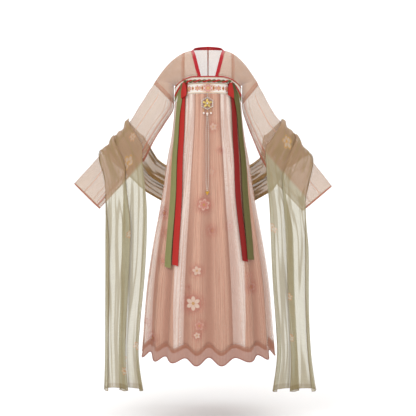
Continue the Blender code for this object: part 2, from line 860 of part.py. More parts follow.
def make_loops():
    """A ribbon folded back on itself at its lower end, hanging from the knot."""
    for side, sign in SIDES.items():
        rows = []
        for layer, table in ((0, LOOP_ROWS), (1, LOOP_ROWS[::-1])):
            out = LOOP_BACK + layer * LOOP_DEPTH
            for z, half_width in table:
                row = []
                for across in (-1, 0, 1):
                    lower = LOOP_SLANT * across * sign * clamp((LOOP_ROWS[0][0] - z) / 0.05)
                    turn = degrees(across * half_width / TORSO_HALF_WIDTH)
                    row.append(skirt_envelope(LOOP_ANGLES[side] + turn, z - lower, out))
                rows.append(row)
        sheet(f"loop_{side}", rows, CLOTH, "red_satin")


def tail_grid(width, offset, route):
    """A ribbon over the band and down the skirt's crests."""
    grid = []
    for place in TAIL_PLACES:
        angle, z = row_at(route, place)
        half_width, _ = look_up(SKIRT_SHAPE, z)
        out = offset + TAIL_OVER_BAND * (1 - smooth((place - 1) / 0.75)) + CLOTH / 2
        lower = TAIL_SLANT if place == TAIL_PLACES[-1] else 0
        turn = degrees(asin(width / 2 / half_width))
        grid.append(
            [skirt_envelope(angle + turn * side, z - lower * side, out) for side in (-1, 0, 1)]
        )
    return grid


def make_tails():
    for name, material_name, width, offset, route in TAILS:
        sheet(name, tail_grid(width, offset, route), CLOTH, material_name)


# Pendant and beads.


def pendant_frame_axes():
    """The pendant's centre on the skirt, and the directions up the skirt and out from it."""
    above = skirt_envelope(0, PENDANT_Z + 0.03, 0)
    below = skirt_envelope(0, PENDANT_Z - 0.03, 0)
    up = (above - below).normalized()
    out = Vector((1, 0, 0)).cross(up).normalized()
    centre = skirt_envelope(0, PENDANT_Z, PENDANT_OUT)
    centre.x = PENDANT_X
    return centre, up, out


def pendant_point(x, up_by, out_by):
    centre, up, out = pendant_frame_axes()
    return centre + Vector((x, 0, 0)) + up * up_by + out * out_by


def flat_star(radii, corners, turned, thickness):
    """Outlines of a flat plate: its corners step through the radii; back and front faces."""
    faces = []
    for depth in (0, thickness):
        line = []
        for step in range(corners):
            radius = radii[step % len(radii)]
            turn = turned + 2 * pi * step / corners
            line.append(pendant_point(radius * sin(turn), radius * cos(turn), depth))
        faces.append(line)
    return faces


def plate(name, back, front, material_name):
    """A closed plate between two outlines."""
    bm = bmesh.new()
    loops = [[bm.verts.new(point) for point in line] for line in (back, front)]
    count = len(back)
    for loop in loops:
        middle = bm.verts.new(sum((v.co for v in loop), Vector()) / count)
        for step in range(count):
            bm.faces.new((loop[step], loop[(step + 1) % count], middle))
    for step in range(count):
        after = (step + 1) % count
        bm.faces.new((loops[0][step], loops[0][after], loops[1][after], loops[1][step]))
    return finish_mesh(name, bm, material_name)


def make_pearl(name, x, wire_top, centre, radius):
    """A pearl on a short wire: one turned body, its profile round an axis down the cloth."""
    first = asin(WIRE_RADIUS / radius)
    profile = [(WIRE_RADIUS, -wire_top)]
    for step in range(PEARL_STEPS):
        turn = mix(first, pi, step / PEARL_STEPS)
        profile.append((radius * sin(turn), radius * cos(turn) - centre))
    bm = bmesh.new()
    rings = []
    for from_axis, up_by in profile:
        ring = []
        for side in range(PEARL_SIDES):
            turn = 2 * pi * side / PEARL_SIDES
            out_by = PEARL_OUT + from_axis * sin(turn)
            place = pendant_point(x + from_axis * cos(turn), up_by, out_by)
            ring.append(bm.verts.new(place))
        rings.append(ring)
    top = bm.verts.new(pendant_point(x, profile[0][1], PEARL_OUT))
    bottom = bm.verts.new(pendant_point(x, -centre - radius, PEARL_OUT))
    for side in range(PEARL_SIDES):
        after = (side + 1) % PEARL_SIDES
        bm.faces.new((top, rings[0][side], rings[0][after]))
        bm.faces.new((bottom, rings[-1][side], rings[-1][after]))
        for upper, lower in zip(rings, rings[1:]):
            bm.faces.new((upper[side], upper[after], lower[after], lower[side]))
    finish_mesh(name, bm, "pearl")


def make_pendant():
    outer_back, outer_front = flat_star((FRAME_OUTER,), 6, 0, FRAME_THICK)
    inner_back, inner_front = flat_star((FRAME_INNER,), 6, 0, FRAME_THICK)
    wall(
        "pendant_frame",
        [outer_back, outer_front],
        [inner_back, inner_front],
        "silver",
        ring=True,
    )
    back, front = flat_star((FLOWER_TIP, FLOWER_VALLEY), 10, 0, FLOWER_THICK)
    plate("pendant_flower", back, front, "gold")
    link_bottom = pendant_point(0, FRAME_OUTER + SEAM, FRAME_THICK / 2)
    link_top = band_point(0, BAND_HEIGHT - 3 * MM, BAND_OUTSIDE + 3.0 * MM)
    link_top.x = PENDANT_X
    tube("pendant_link", [link_bottom, (link_bottom + link_top) / 2, link_top], 1.4 * MM, "silver")
    for pearl in PEARLS:
        make_pearl(*pearl)


def on_front_flute(x, z, out):
    """A point out from the cloth of the flute below the pendant, at this x and height."""
    half_width, _ = look_up(SKIRT_SHAPE, z)
    angle = degrees(asin(x / half_width))
    top = band_top(angle) - BAND_HEIGHT - SEAM
    share = (top - z) / (top - HEM_HEIGHT)
    start = CRESTS[-1] - 360
    place = (angle - start) / (CRESTS[0] - start) * COLUMNS_PER_FLUTE
    column = int(place)
    inset = mix(skirt_inset(column, share), skirt_inset(column + 1, share), place - column)
    return skirt_envelope(angle, z, out - inset)


def make_beads():
    pearl_centre = pendant_point(0, -PEARLS[1][3], PEARL_OUT)
    bead_top = pearl_centre.z - PEARLS[1][4] - SEAM
    on_cloth = BEAD_RADIUS + SEAM * 2
    end_out = END_BEAD_SIZE[1] + SEAM * 2
    for name, sign in (("bead_row_left", -1), ("bead_row_right", 1)):
        points = []
        for step in range(BEAD_POINTS + 1):
            share = step / BEAD_POINTS
            spread = mix(BEAD_RADIUS + SEAM, BEAD_ROW_SPREAD, smooth(share * 5))
            spread = mix(spread, BEAD_RADIUS + SEAM, smooth(share * 8 - 7))
            z = mix(bead_top, BEAD_BOTTOM, share)
            out = mix(on_cloth, end_out, smooth(share * BEAD_POINTS - BEAD_POINTS + 1))
            point = on_front_flute(PENDANT_X + sign * spread, z, out)
            if step == 0:
                point.y = pearl_centre.y
            points.append(point)
        tube(name, points, BEAD_RADIUS, "silver")
    place = on_front_flute(PENDANT_X, BEAD_BOTTOM - END_BEAD_SIZE[2] - SEAM, end_out)
    ball("end_bead", place, END_BEAD_SIZE, "gold")


# Pibo.


def fold_phase(share):
    """The angle of the shawl's lengthwise folds at this share of its width."""
    return 2 * pi * PIBO_FOLDS * share - pi


def folded_share(share, overlap):
    """Where a point of the cloth's width lies across the folded shawl: it runs back on itself
    between the folds, as a sheared wave does, and the outermost folds are at 0 and 1."""
    steepness = 2 * pi * PIBO_FOLDS
    reach = 0
    if overlap * steepness > 1:
        turn = acos(1 / (overlap * steepness))
        reach = overlap * sin(turn) - turn / steepness
    return (share + overlap * sin(fold_phase(share)) + reach) / (1 + 2 * reach)


def arm_row(side, angle):
    outer_station, inner_station = look_up(PIBO_ARMS[side], angle)
    row = []
    for column in range(PIBO_COLUMNS + 1):
        share = column / PIBO_COLUMNS
        station = mix(outer_station, inner_station, folded_share(share, PIBO_ARM_OVERLAP))
        lift = PIBO_ARM_FOLD * (1 + sin(fold_phase(share))) + PIBO_CLEAR + PIBO_WALL / 2
        row.append(sleeve_point(side, station, angle, lift))
    return row


def fall_point(side, share, z, start, settled):
    """A point of the shawl's hanging end: it leaves the sleeve at start and settles in folds."""
    sign = SIDES[side]
    outer_x, inner_x = look_up(PIBO_FALLS[side], z)
    x = mix(outer_x, inner_x, folded_share(share, PIBO_FALL_OVERLAP))
    fold = PIBO_FALL_FOLD * sin(fold_phase(share))
    hung = Vector((sign * x, PIBO_FALL_Y - fold, z))
    return Vector((start.x, start.y, z)).lerp(hung, settled)


def fall_grid(side):
    top = arm_row(side, PIBO_ARM_ANGLES[-1])
    rows = []
    for part in PIBO_FALL_ROWS:
        row = []
        for column in range(PIBO_COLUMNS + 1):
            share = column / PIBO_COLUMNS
            start = top[column]
            first_z = start.z - SEAM * 2
            hem_wave = 0.008 * cos(fold_phase(share))
            z = mix(first_z, PIBO_BOTTOM[side] + hem_wave, part)
            row.append(fall_point(side, share, z, start, smooth(part * 3.2)))
        rows.append(row)
    return rows


def back_rows(side):
    """Rows of the shawl behind the skirt, from this sleeve to near the centre back."""
    sign = SIDES[side]
    rows = []
    for low_x, low_y, low_z, high_x, high_y, high_z in PIBO_BACK:
        low = Vector((sign * low_x, low_y, low_z))
        high = Vector((sign * high_x, high_y, high_z))
        rows.append(back_row(low, high))
    return rows


def back_row(low, high):
    away = Vector(((low + high).x, (low + high).y * 1.4, 0)).normalized()
    row = []
    for column in range(PIBO_COLUMNS + 1):
        share = column / PIBO_COLUMNS
        across = low.lerp(high, folded_share(share, PIBO_FALL_OVERLAP * 0.8))
        row.append(across + away * PIBO_BACK_FOLD * (1 + sin(fold_phase(share))))
    return row


def make_pibo():
    """One long cloth, cut into the stretches that show: two falls, two arms and the back."""
    arms = {side: [arm_row(side, angle) for angle in PIBO_ARM_ANGLES] for side in SIDES}
    centre = back_row(Vector(PIBO_CENTRE[:3]), Vector(PIBO_CENTRE[3:]))
    stretches = (
        ("pibo_fall_left", fall_grid("left")[::-1]),
        ("pibo_arm_left", arms["left"][::-1]),
        ("pibo_back", back_rows("left") + [centre] + back_rows("right")[::-1]),
        ("pibo_arm_right", arms["right"]),
        ("pibo_fall_right", fall_grid("right")),
    )
    grid = [row for _, rows in stretches for row in rows]
    faces = moved_out(grid, PIBO_WALL / 2), moved_out(grid, -PIBO_WALL / 2)
    first = 0
    for number, (name, rows) in enumerate(stretches):
        last = first + len(rows)
        # The back runs on to the first row of each arm.
        reach = 1 if name == "pibo_back" else 0
        start_seam = number > 0
        end_seam = number < len(stretches) - 1
        outer, inner = (
            shortened(face[first - reach : last + reach], start_seam, end_seam, PIBO_GAP)
            for face in faces
        )
        wall(name, outer, inner, "pibo_gauze")
        first = last


def clear_scene():
    for obj in list(bpy.data.objects):
        bpy.data.objects.remove(obj)


def main():
    clear_scene()
    make_shan()
    make_sleeves()
    make_collar()
    make_band()
    make_skirt()
    make_wraps()
    make_cord()
    make_knots()
    make_loops()
    make_tails()
    make_pendant()
    make_beads()
    make_pibo()


main()
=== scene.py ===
"""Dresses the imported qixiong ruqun: sheer shan, lined skirt, ribbons, jewels and shawl.
Metres, +Z up, the front faces -Y, left is -X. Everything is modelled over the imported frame."""

from collections import namedtuple
from math import acos, asin, cos, degrees, floor, pi, radians, sin, sqrt

import bmesh
import bpy
from mathutils import Matrix, Vector


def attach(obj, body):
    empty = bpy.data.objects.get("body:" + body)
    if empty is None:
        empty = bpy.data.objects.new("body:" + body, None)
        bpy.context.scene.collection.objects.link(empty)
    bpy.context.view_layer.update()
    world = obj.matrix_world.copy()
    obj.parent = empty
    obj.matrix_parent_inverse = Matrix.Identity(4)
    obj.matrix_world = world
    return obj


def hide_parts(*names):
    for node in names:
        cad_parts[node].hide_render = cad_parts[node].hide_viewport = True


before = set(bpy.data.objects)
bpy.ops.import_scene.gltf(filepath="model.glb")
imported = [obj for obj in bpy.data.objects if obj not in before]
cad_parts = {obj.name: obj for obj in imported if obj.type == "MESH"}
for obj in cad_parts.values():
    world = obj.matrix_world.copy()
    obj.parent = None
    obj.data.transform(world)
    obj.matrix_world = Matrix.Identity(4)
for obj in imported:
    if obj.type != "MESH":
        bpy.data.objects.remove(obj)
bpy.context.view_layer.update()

bl_info = {
    "name": "Qixiong ruqun dresser",
    "version": (1, 0, 0),
    "blender": (4, 5, 0),
    "location": "View3D > Sidebar > Ruqun",
    "description": "Models the cloth, ribbons and jewels of a qixiong ruqun over its packed frame",
    "category": "Object",
}

MM = 0.001
SEAM = 0.3 * MM
CLOTH = 1.2 * MM
SIDES = {"left": -1, "right": 1}

# Torso and chest band. The ring is an ellipse; angle 0 is the front, 90 degrees is +X.
TORSO_HALF_WIDTH = 0.144
TORSO_HALF_DEPTH = 0.102
BAND_TOP_FRONT = -0.1345
BAND_TOP_DROP = 0.0335
BAND_FLAT_ANGLE = 25.0
BAND_SLOPE_ANGLE = 60.0
BAND_HEIGHT = 0.0710
BAND_INSIDE = 0.7 * MM
BAND_OUTSIDE = 3.7 * MM
BAND_EDGE = 0.5 * MM
PIPING_RISE = 2.2 * MM
PIPING_SIZE = (2.7 * MM, 2.1 * MM)
GOLD_LINE_BELOW = 2.3 * MM
GOLD_LINE_HELIX = 0.40 * MM
GOLD_LINE_STRAND = 0.42 * MM
GOLD_LINE_TURNS = 180
PANEL_EDGES = (0.0262, 0.0700)
PANEL_WIDTH = 0.183
PANEL_HALF_ANGLE = 37.5
PANEL_WALL = 0.9 * MM
PANEL_FLOWERS = (
    # x, size, petals
    (0.0, 0.0195, 8),
    (0.0440, 0.0130, 6),
    (-0.0440, 0.0130, 6),
    (0.0830, 0.0150, 8),
    (-0.0830, 0.0150, 8),
)
PANEL_STONES = (0.0225, -0.0225, 0.0640, -0.0640)

SKIRT_SHAPE = (
    # z, half_width, half_depth
    (-1.360, 0.3005, 0.2880),
    (-1.070, 0.2780, 0.2570),
    (-0.885, 0.2520, 0.2290),
    (-0.662, 0.2110, 0.1900),
    (-0.500, 0.1860, 0.1580),
    (-0.400, 0.1665, 0.1400),
    (-0.336, 0.1575, 0.1272),
    (-0.264, 0.1507, 0.1148),
    (-0.225, 0.1496, 0.1092),
    (-0.170, 0.1478, 0.1058),
    (-0.125, 0.1478, 0.1058),
)
CRESTS = (11, 36.5, 58.5, 81, 104, 126, 149, 171, 193, 215, 238, 262, 287, 312, 330, 350.5)
COLUMNS_PER_FLUTE = 4
SKIRT_COLUMNS = len(CRESTS) * COLUMNS_PER_FLUTE
SKIRT_STEPS = 6
BACK_COLUMN = 30
HEM_HEIGHT = -1.330
HEM_WAVE = 0.017
HEM_WAVE_CHANGE = 0.22
HEM_MARK = (0.0, 1.1)
ROW_SPACING_POWER = 1.15
PLEATS_END = 0.45
GATHERS_END = 0.30
GATHERS_ROUND = 112
DRAPE_ROUND = (23, 37)
FLUTE_GROWTH = 1.4
FLUTE_DEPTH_TOP = 0.6 * MM
FLUTE_DEPTH_HEM = 15.0 * MM
LINING_GAP_TOP = 0.8 * MM
LINING_GAP_HEM = 5.0 * MM
LINING_LENGTH = 0.965
LINING_HEM = 0.7 * MM

# Cream stripes of the lining: their edges, in columns, at the band and at the hem.
CREAM_STRIPES = (
    # top_start, top_end, hem_start, hem_end
    (38.0, 40.0, 38.0, 40.0),
    (46.0, 48.6, 45.8, 49.8),
    (53.4, 57.3, 56.0, 57.6),
    (65.6, 69.6, 65.8, 67.4),
    (74.0, 77.0, 74.0, 78.0),
    (84.0, 86.0, 84.0, 86.0),
)
# Seams of the lining beside the two front stripes.
LINING_SEAMS = (
    # top_column, hem_column, strength
    (65.42, 65.62, 0.95),
    (57.48, 57.78, 0.70),
)

# Blossoms printed on the front of the skirt. Behind, the print is moved out of reach.
OUT_OF_PRINT = 9
BLOSSOMS = (
    # x, z, size, turn, petals, ink, strength
    (0.023, -0.352, 0.018, 0.2, 5, "ink_cream", 0.75),
    (0.053, -0.454, 0.013, 0.8, 5, "ink_red", 0.75),
    (0.013, -0.546, 0.015, 1.1, 5, "ink_cream", 0.55),
    (-0.017, -0.686, 0.027, 0.5, 6, "ink_pink", 1.0),
    (0.092, -0.775, 0.016, 0.1, 5, "ink_pink", 0.4),
    (0.018, -0.794, 0.021, 0.9, 5, "ink_red", 0.6),
    (-0.046, -0.960, 0.021, 0.3, 5, "ink_cream", 0.9),
    (-0.080, -1.028, 0.010, 0.6, 5, "ink_red", 0.5),
    (-0.061, -1.094, 0.032, 0.0, 6, "ink_cream", 1.0),
    (-0.036, -1.184, 0.021, 0.7, 5, "ink_pink", 0.8),
    (-0.045, -1.223, 0.015, 0.2, 5, "ink_cream", 0.9),
    (-0.191, -0.721, 0.021, 0.4, 5, "ink_red", 0.8),
    (-0.182, -0.805, 0.019, 0.9, 6, "ink_red", 0.6),
    (-0.192, -0.925, 0.017, 0.9, 5, "ink_pink", 0.7),
    (0.181, -1.033, 0.021, 0.1, 5, "ink_red", 0.7),
    (0.172, -0.985, 0.014, 0.7, 5, "ink_pink", 0.5),
    (-0.237, -1.255, 0.024, 0.5, 5, "ink_red", 0.7),
    (-0.262, -1.190, 0.016, 0.2, 5, "ink_pink", 0.6),
)

SLEEVES = {
    "left": (
        # top_x, top_z, low_x, low_z, half_depth
        (0.2336, -0.134, 0.1508, -0.155, 0.038),
        (0.2520, -0.163, 0.1506, -0.214, 0.038),
        (0.2730, -0.195, 0.1545, -0.268, 0.036),
        (0.3180, -0.267, 0.1970, -0.335, 0.033),
        (0.3660, -0.338, 0.2420, -0.408, 0.031),
        (0.421, -0.398, 0.290, -0.495, 0.029),
        (0.478, -0.458, 0.347, -0.556, 0.027),
        (0.536, -0.525, 0.411, -0.628, 0.025),
        (0.5936, -0.592, 0.480, -0.704, 0.024),
    ),
    "right": (
        (0.2177, -0.137, 0.1508, -0.155, 0.038),
        (0.2335, -0.168, 0.1506, -0.216, 0.038),
        (0.2550, -0.208, 0.1545, -0.278, 0.036),
        (0.2880, -0.268, 0.1810, -0.352, 0.033),
        (0.330, -0.320, 0.213, -0.430, 0.031),
        (0.376, -0.371, 0.249, -0.502, 0.029),
        (0.430, -0.440, 0.296, -0.578, 0.027),
        (0.490, -0.522, 0.356, -0.646, 0.025),
        (0.549, -0.603, 0.4179, -0.714, 0.024),
    ),
}
SLEEVE_FOLD = 2.5 * MM
SLEEVE_FOLDS_ROUND = 3
CREASE_FADE = 1.5
CREASE_LAST_STATION = 6.5
CREASES_ROUND = (7, 11)
UNDERARM_STATION = 2
SLEEVE_ROWS = 96
SLEEVE_ROWS_PER_STATION = 12
CUFF_RADIUS = 1.1 * MM
CUFF_MARK = (0.5, 1.1)
# The armhole seam's lower end, as the seam is drawn on the sleeve.
ARMHOLE_LOW = (0.1525, -0.216)

SHAN_SIDE_ROWS = (-0.45, -0.35, -0.265, -0.205)
SHAN_RIM_ROWS = (
    # rise_at_middle, rise_at_side, out_at_side
    (0.005, 0.005, 0.0),
    (0.012, 0.013, 0.0068),
)
SHAN_FRONT_ROWS = (
    # edge_z, armhole_angle
    (-0.099, 150),
    (-0.082, 120),
    (-0.065, 90),
    (-0.047, 60),
    (-0.026, 30),
    (-0.003, 0),
)
SHAN_NECK_ROWS = (
    # neck_angle, armhole_angle
    (30, 30),
    (60, 60),
    (90, 90),
)
SHAN_BACK_ROWS = (
    # centre_back_z, armhole_angle
    (-0.045, 120),
    (-0.105, 150),
)
SHOULDER_ARRIVE = (0.030, 0.0, -0.044)
UNDERARM_ARRIVE = (0.015, 0.030, 0.0)
SHAN_LEAVE = (0.50, 0.06)
SHAN_COLUMNS = 8
SHAN_REFINED = 5
SHAN_STRIP_X = 0.110
SHAN_STRIP_LINE = 0.0045
NECK_HALF_WIDTH = 0.0745
NECK_DEPTH = 0.060
NECK_RISE = 0.021
NECK_SIDE_Z = -0.003
NECK_ARCH_POWER = 0.7
FRONT_EDGE_SLOPE = 0.2432
FRONT_EDGE_LEAST = 0.0175
CHEST_DEPTH_BELOW = 0.15
COLLAR_WIDTH = 0.0125
COLLAR_OVER = 3.2 * MM
COLLAR_LIFT = 0.8
COLLAR_LIFT_START = 0.07
COLLAR_LEAN_BACK = 0.15
COLLAR_NECK_ANGLES = (0, 30, 60, 90)
COLLAR_SHIFT = 0.6 * MM
COLLAR_WALL = 1.6 * MM
COLLAR_HEIGHTS = (-0.45, -0.35, -0.265, -0.205, -0.165, -0.130, -0.095, -0.062, -0.032)

TIE_WIDTH = 0.015
TIE_WIDTH_AT_KNOT = 0.7
RIBBON_WALL = 0.8 * MM
RIBBON_RIPPLE = 0.35 * MM
WRAP_FIRST_ANGLE = 45.0
WRAP_SETTLED_ANGLE = 78.0
WRAPS = (
    # colour, below_top_at_knot, below_top_at_back
    ("red", 0.013, 0.036),
    ("green", 0.028, 0.052),
)
CORD_HEIGHT = -0.1525
CORD_HELIX = 3.6 * MM
CORD_TURNS = 4.5
CORD_ENDS = (-36.5, 33.5)
CORD_CLEAR = 3.4 * MM
CORD_SIZE = (3.5 * MM, 3.3 * MM)
KNOT_ANGLES = {"left": -40.5, "right": 37.5}
KNOT_OUT = 6.36 * MM
KNOT_RISE = 0.002
KNOT_REACH = (1.9 * MM, 2.1 * MM, 1.5 * MM)
KNOT_SIZE = (3.1 * MM, 2.3 * MM)
LOOP_ANGLES = {"left": -41.0, "right": 38.5}
LOOP_ROWS = (
    # z, half_width
    (-0.1571, 0.0045),
    (-0.1700, 0.0095),
    (-0.1850, 0.0130),
    (-0.2010, 0.0142),
    (-0.2165, 0.0135),
)
LOOP_SLANT = 0.006
LOOP_BACK = 8.8 * MM
LOOP_DEPTH = 3.6 * MM
LOOP_BULGE = 1.2 * MM
GREEN_OUT = 4.0 * MM
RED_OUT = 0.9 * MM
# Each tail's name, colour, width and offset, then its angle and z down the band and skirt.
TAILS = (
    ("tail_green_left", "green", 0.034, GREEN_OUT,
     ((-44.0, -0.1574), (-53.0, -0.235), (-57.0, -0.330), (-45.5, -0.620), (-39.6, -0.950))),
    ("tail_red_left", "red", 0.030, RED_OUT,
     ((-40.0, -0.1567), (-46.0, -0.235), (-45.5, -0.330), (-36.5, -0.620), (-31.6, -0.940))),
    ("tail_red_right", "dark_red", 0.029, RED_OUT,
     ((39.0, -0.1610), (46.5, -0.235), (47.0, -0.330), (38.0, -0.620), (37.2, -0.924))),
    ("tail_green_right", "dark_green", 0.038, GREEN_OUT,
     ((42.0, -0.1574), (55.0, -0.235), (60.5, -0.330), (50.0, -0.620), (43.8, -0.918))),
)
TAIL_OVER_BAND = 2.0 * MM
TAIL_SLANT = 0.003
TAIL_STEPS = 90
TAIL_WIDTH_AT_KNOT = 0.86
TAIL_FOLD_AT_KNOT = 1.6 * MM
TAIL_FOLD_BELOW = 0.45 * MM
TAIL_FOLDS = (9.5, 4.5)
TAIL_OPEN_AT = 1.4

PENDANT_X = -0.0030
PENDANT_Z = -0.2500
PENDANT_OUT = 1.3 * MM
FRAME_OUTER = 0.0295
FRAME_INNER = 0.0250
FRAME_THICK = 3.0 * MM
FRAME_RADIUS = (FRAME_OUTER + FRAME_INNER) / 2
FRAME_RINGS = (
    # radius, radius_of_the_wire
    (FRAME_RADIUS, 1.5 * MM),
    (FRAME_RADIUS - 3.1 * MM, 0.6 * MM),
)
FRAME_BEAD = 2.2 * MM
FRAME_STUD = 0.9 * MM
PETAL_RADIUS = 11.5 * MM
PETAL_SHIFT = 12.6 * MM
VEIN_RADIUS = 6.5 * MM
VEIN_SHIFT = 11.0 * MM
HEART_SCALE = (1.9, 1.9, 1.2)
HEXAGON = 6
FRAME_PLACES = 6
FLOWER_PETALS = 5
LINKS = 4
LINK_RADIUS = 2.3 * MM
LINK_WIRE = 0.55 * MM
LINK_SCALE = (0.75, 1.15, 1.0)
PEARL_TALL = 1.12
PEARLS = (
    # x, wire_top, pearl_centre, radius; the heights are below the pendant's centre
    (-0.0155, 0.0185, 0.0440, 0.0046),
    (0.0, 0.0270, 0.0465, 0.0054),
    (0.0155, 0.0185, 0.0440, 0.0046),
)
PEARL_OUT = 4.0 * MM
WIRE_RADIUS = 0.6 * MM
BEAD_RADIUS = 1.5 * MM
BEAD_PEARL_SCALE = (1.4, 1.4, 1.3)
BEAD_STUD_SCALE = (0.7, 0.7, 0.7)
BEAD_ROW_SPREAD = 0.005
BEAD_BOTTOM = -0.6290
BEAD_STEP = BEAD_RADIUS * 2.05
END_BEAD_SIZE = (0.0085, 0.0045, 0.0080)
LOBE_SHIFT = (3.6 * MM, 3.4 * MM)
TIP_SHIFT = -2.6 * MM
HEART_VOXEL = 0.5 * MM

# The shawl: where its outer and inner edges cross the sleeve, in stations, at each angle.
PIBO_ARMS = {
    "left": (
        # angle, outer_station, inner_station
        (-105, 5.98, 4.00),
        (-90, 6.00, 3.95),
        (0, 5.85, 3.55),
        (90, 6.80, 4.15),
        (120, 7.20, 4.45),
    ),
    "right": (
        (-105, 6.00, 3.88),
        (-90, 6.10, 3.90),
        (0, 6.35, 3.80),
        (90, 7.30, 4.30),
        (120, 7.65, 4.45),
    ),
}
PIBO_ARM_ANGLES = (-105, -90, -60, -45, -30, -15, 0, 15, 30, 45, 60, 90, 120)
PIBO_FALLS = {
    "left": (
        # z, outer_x, inner_x
        (-0.45, 0.4540, 0.2620),
        (-0.75, 0.4540, 0.2680),
        (-0.95, 0.4540, 0.2740),
        (-1.10, 0.4540, 0.2880),
        (-1.28, 0.4550, 0.3055),
        (-1.38, 0.4560, 0.3050),
        (-1.52, 0.4590, 0.2820),
    ),
    "right": (
        (-0.45, 0.4460, 0.2640),
        (-0.75, 0.4460, 0.2740),
        (-0.95, 0.4460, 0.2800),
        (-1.10, 0.4450, 0.2900),
        (-1.28, 0.4520, 0.3055),
        (-1.38, 0.4600, 0.3050),
        (-1.52, 0.4800, 0.2820),
    ),
}
PIBO_BOTTOM = {"left": -1.497, "right": -1.500}
PIBO_FALL_ROWS = (0.04, 0.09, 0.16, 0.26, 0.40, 0.56, 0.74, 0.86, 1.0)
PIBO_FALL_Y = -0.040
PIBO_HEM_WAVE = 0.008
PIBO_COLUMNS = 96
PIBO_FOLDS = 2
PIBO_GATHERS = (58, 93)
PIBO_GATHER_SHIFT = 0.010
PIBO_BUNCHES = 38
PIBO_RIPPLES = (55, 34)
PIBO_RIPPLE_LENGTHS = 60
PIBO_ARM_FOLD = 3.5 * MM
PIBO_ARM_OVERLAP = 0.10
PIBO_FALL_FOLD = 11.0 * MM
PIBO_FALL_OVERLAP = 0.24
PIBO_BACK_FOLD = 9.0 * MM
PIBO_BACK_OVERLAP = PIBO_FALL_OVERLAP * 0.8
PIBO_EDGE = 0.8 * MM
PIBO_MARK = (1.1, 0.5)
PIBO_CLEAR = 0.7 * MM
PIBO_WALL = 1.0 * MM
PIBO_BACK = (
    # low_x, low_y, low_z, high_x, high_y, high_z
    (0.300, 0.090, -0.612, 0.228, 0.092, -0.460),
    (0.262, 0.122, -0.640, 0.212, 0.126, -0.482),
    (0.200, 0.168, -0.675, 0.176, 0.168, -0.506),
    (0.130, 0.206, -0.705, 0.120, 0.196, -0.530),
    (0.060, 0.226, -0.722, 0.058, 0.212, -0.546),
)
PIBO_CENTRE = (0.0, 0.232, -0.728, 0.0, 0.217, -0.551)

# The stage: the camera stands in front at the height of the skirt's middle.
CAMERA_PLACE = (0.0, -3.4, -0.70)
CAMERA_LENS = 66.1
FLOOR_Z = -1.62
BACKDROP_X = (-9.0, -3.0, 3.0, 9.0)
BACKDROP_FRONT = -7.0
BACKDROP_BEND = 4.0
BACKDROP_RADIUS = 1.5
BACKDROP_STEP = 0.6
LIGHTS = (
    # name, place, target, size, energy
    ("key", (-2.2, -3.4, 1.6), (0, 0, -0.7), 2.4, 62.0),
    ("fill", (2.6, -3.0, 0.4), (0, 0, -0.7), 2.4, 24.0),
    ("top", (0.0, -0.4, 2.6), (0, 0, -0.7), 2.4, 24.0),
    ("paper_light", (0.0, 2.6, 2.6), (0, 4.2, -0.7), 4.0, 110.0),
)
ROOM_COLOUR = (1.0, 0.99, 0.98, 1)
ROOM_STRENGTH = 0.62

# The weave of every cloth: threads and breaks for each metre, and how far they stand out.
THREADS = 620
THREAD_BREAKS = 26
WEAVE_RISE = 0.15 * MM
SATIN_RISE = 0.12 * MM
LINING_RISE = 0.2 * MM
STITCH_RISE = 0.5 * MM
# A rolled hem's place is marked 1.1, past the cloth's own places, and this ramp finds it.
ON_HEM = (1.01, 1.05)

# Seams and hems that are drawn on a cloth. Three values are a line's middle, its half-width and
# its soft rest. SEAM_LINE and SHAN_STRIP_WIDTH leave out the middle, and the other pairs are
# where a ramp starts and where it is whole.
SEAM_LINE = (0.0006, 0.0006)
SHAN_STRIP_WIDTH = (0.0038, 0.0012)
SHAN_BACK_SEAM = (0.0, 0.003, 0.001)
SHAN_ABOVE_BAND = (-0.150, -0.140)
SHAN_BACK_END = (0.104, 0.110)
ARMHOLE_SEAMS = (
    (0.0015, 0.0007, 0.0007),
    (0.0135, 0.0007, 0.0007),
)
ARMHOLE_STRIP = (0.0075, 0.0055, 0.001)
UNDER_SEAM = (0.5, 0.044, 0.010)
CUFF_HEM = (0.990, 0.994)
HEM_VEIL_START = (0.936, 0.958)
SHAWL_SIDE_HEM = (0.484, 0.488)
SHAWL_END_HEM = (0.4955, 0.4965)
PANEL_LONG_EDGE = (0.0196, 0.0008, 0.0003)
PANEL_SHORT_EDGE = (0.0898, 0.0007, 0.0003)

# Patterns that are drawn on a cloth.
LOOSE_BLOSSOMS = {"cells": 5.5, "least": 0.62}
LOOSE_BLOSSOM_SIZE = 0.017
LOZENGE_WAVES = 420
STONE_REACH = (0.0060, 0.0110)
LOZENGE_REACH = (0.0400, 0.0190)
LOZENGES = (
    # reach, colour
    (1.0, "gold_thread"),
    (0.84, "ink_red"),
    (1.22, "ink_pink"),
)
SHAWL_FLOWERS = (
    # cells, size, petals, turn, ink
    (4.2, 0.034, 5, 0.3, "ink_gold"),
    (6.0, 0.021, 6, 0.9, "ink_orange"),
)
SHAWL_FLOWERS_LEAST = 0.55
ARM_LINE_X = 0.29
ARM_LINE_Z = -0.495
ARM_LINE_SLOPE = 1.1

Flower = namedtuple("Flower", "petal heart halo veins rim")


# Numbers and curves.


def clamp(value, low=0.0, high=1.0):
    return max(low, min(high, value))


def smooth(value):
    """0 to 1 with level ends."""
    value = clamp(value)
    return value * value * (3 - 2 * value)


def hump(turn):
    """0 to 1 and back to 0, once each turn."""
    return (1 - cos(turn)) / 2


def mix(a, b, share):
    return a + (b - a) * share


def chance(number):
    """A steady value from 0 to 1 for each whole number."""
    value = sin(number * 12.9898 + 4.1414) * 43758.5453
    return value - floor(value)


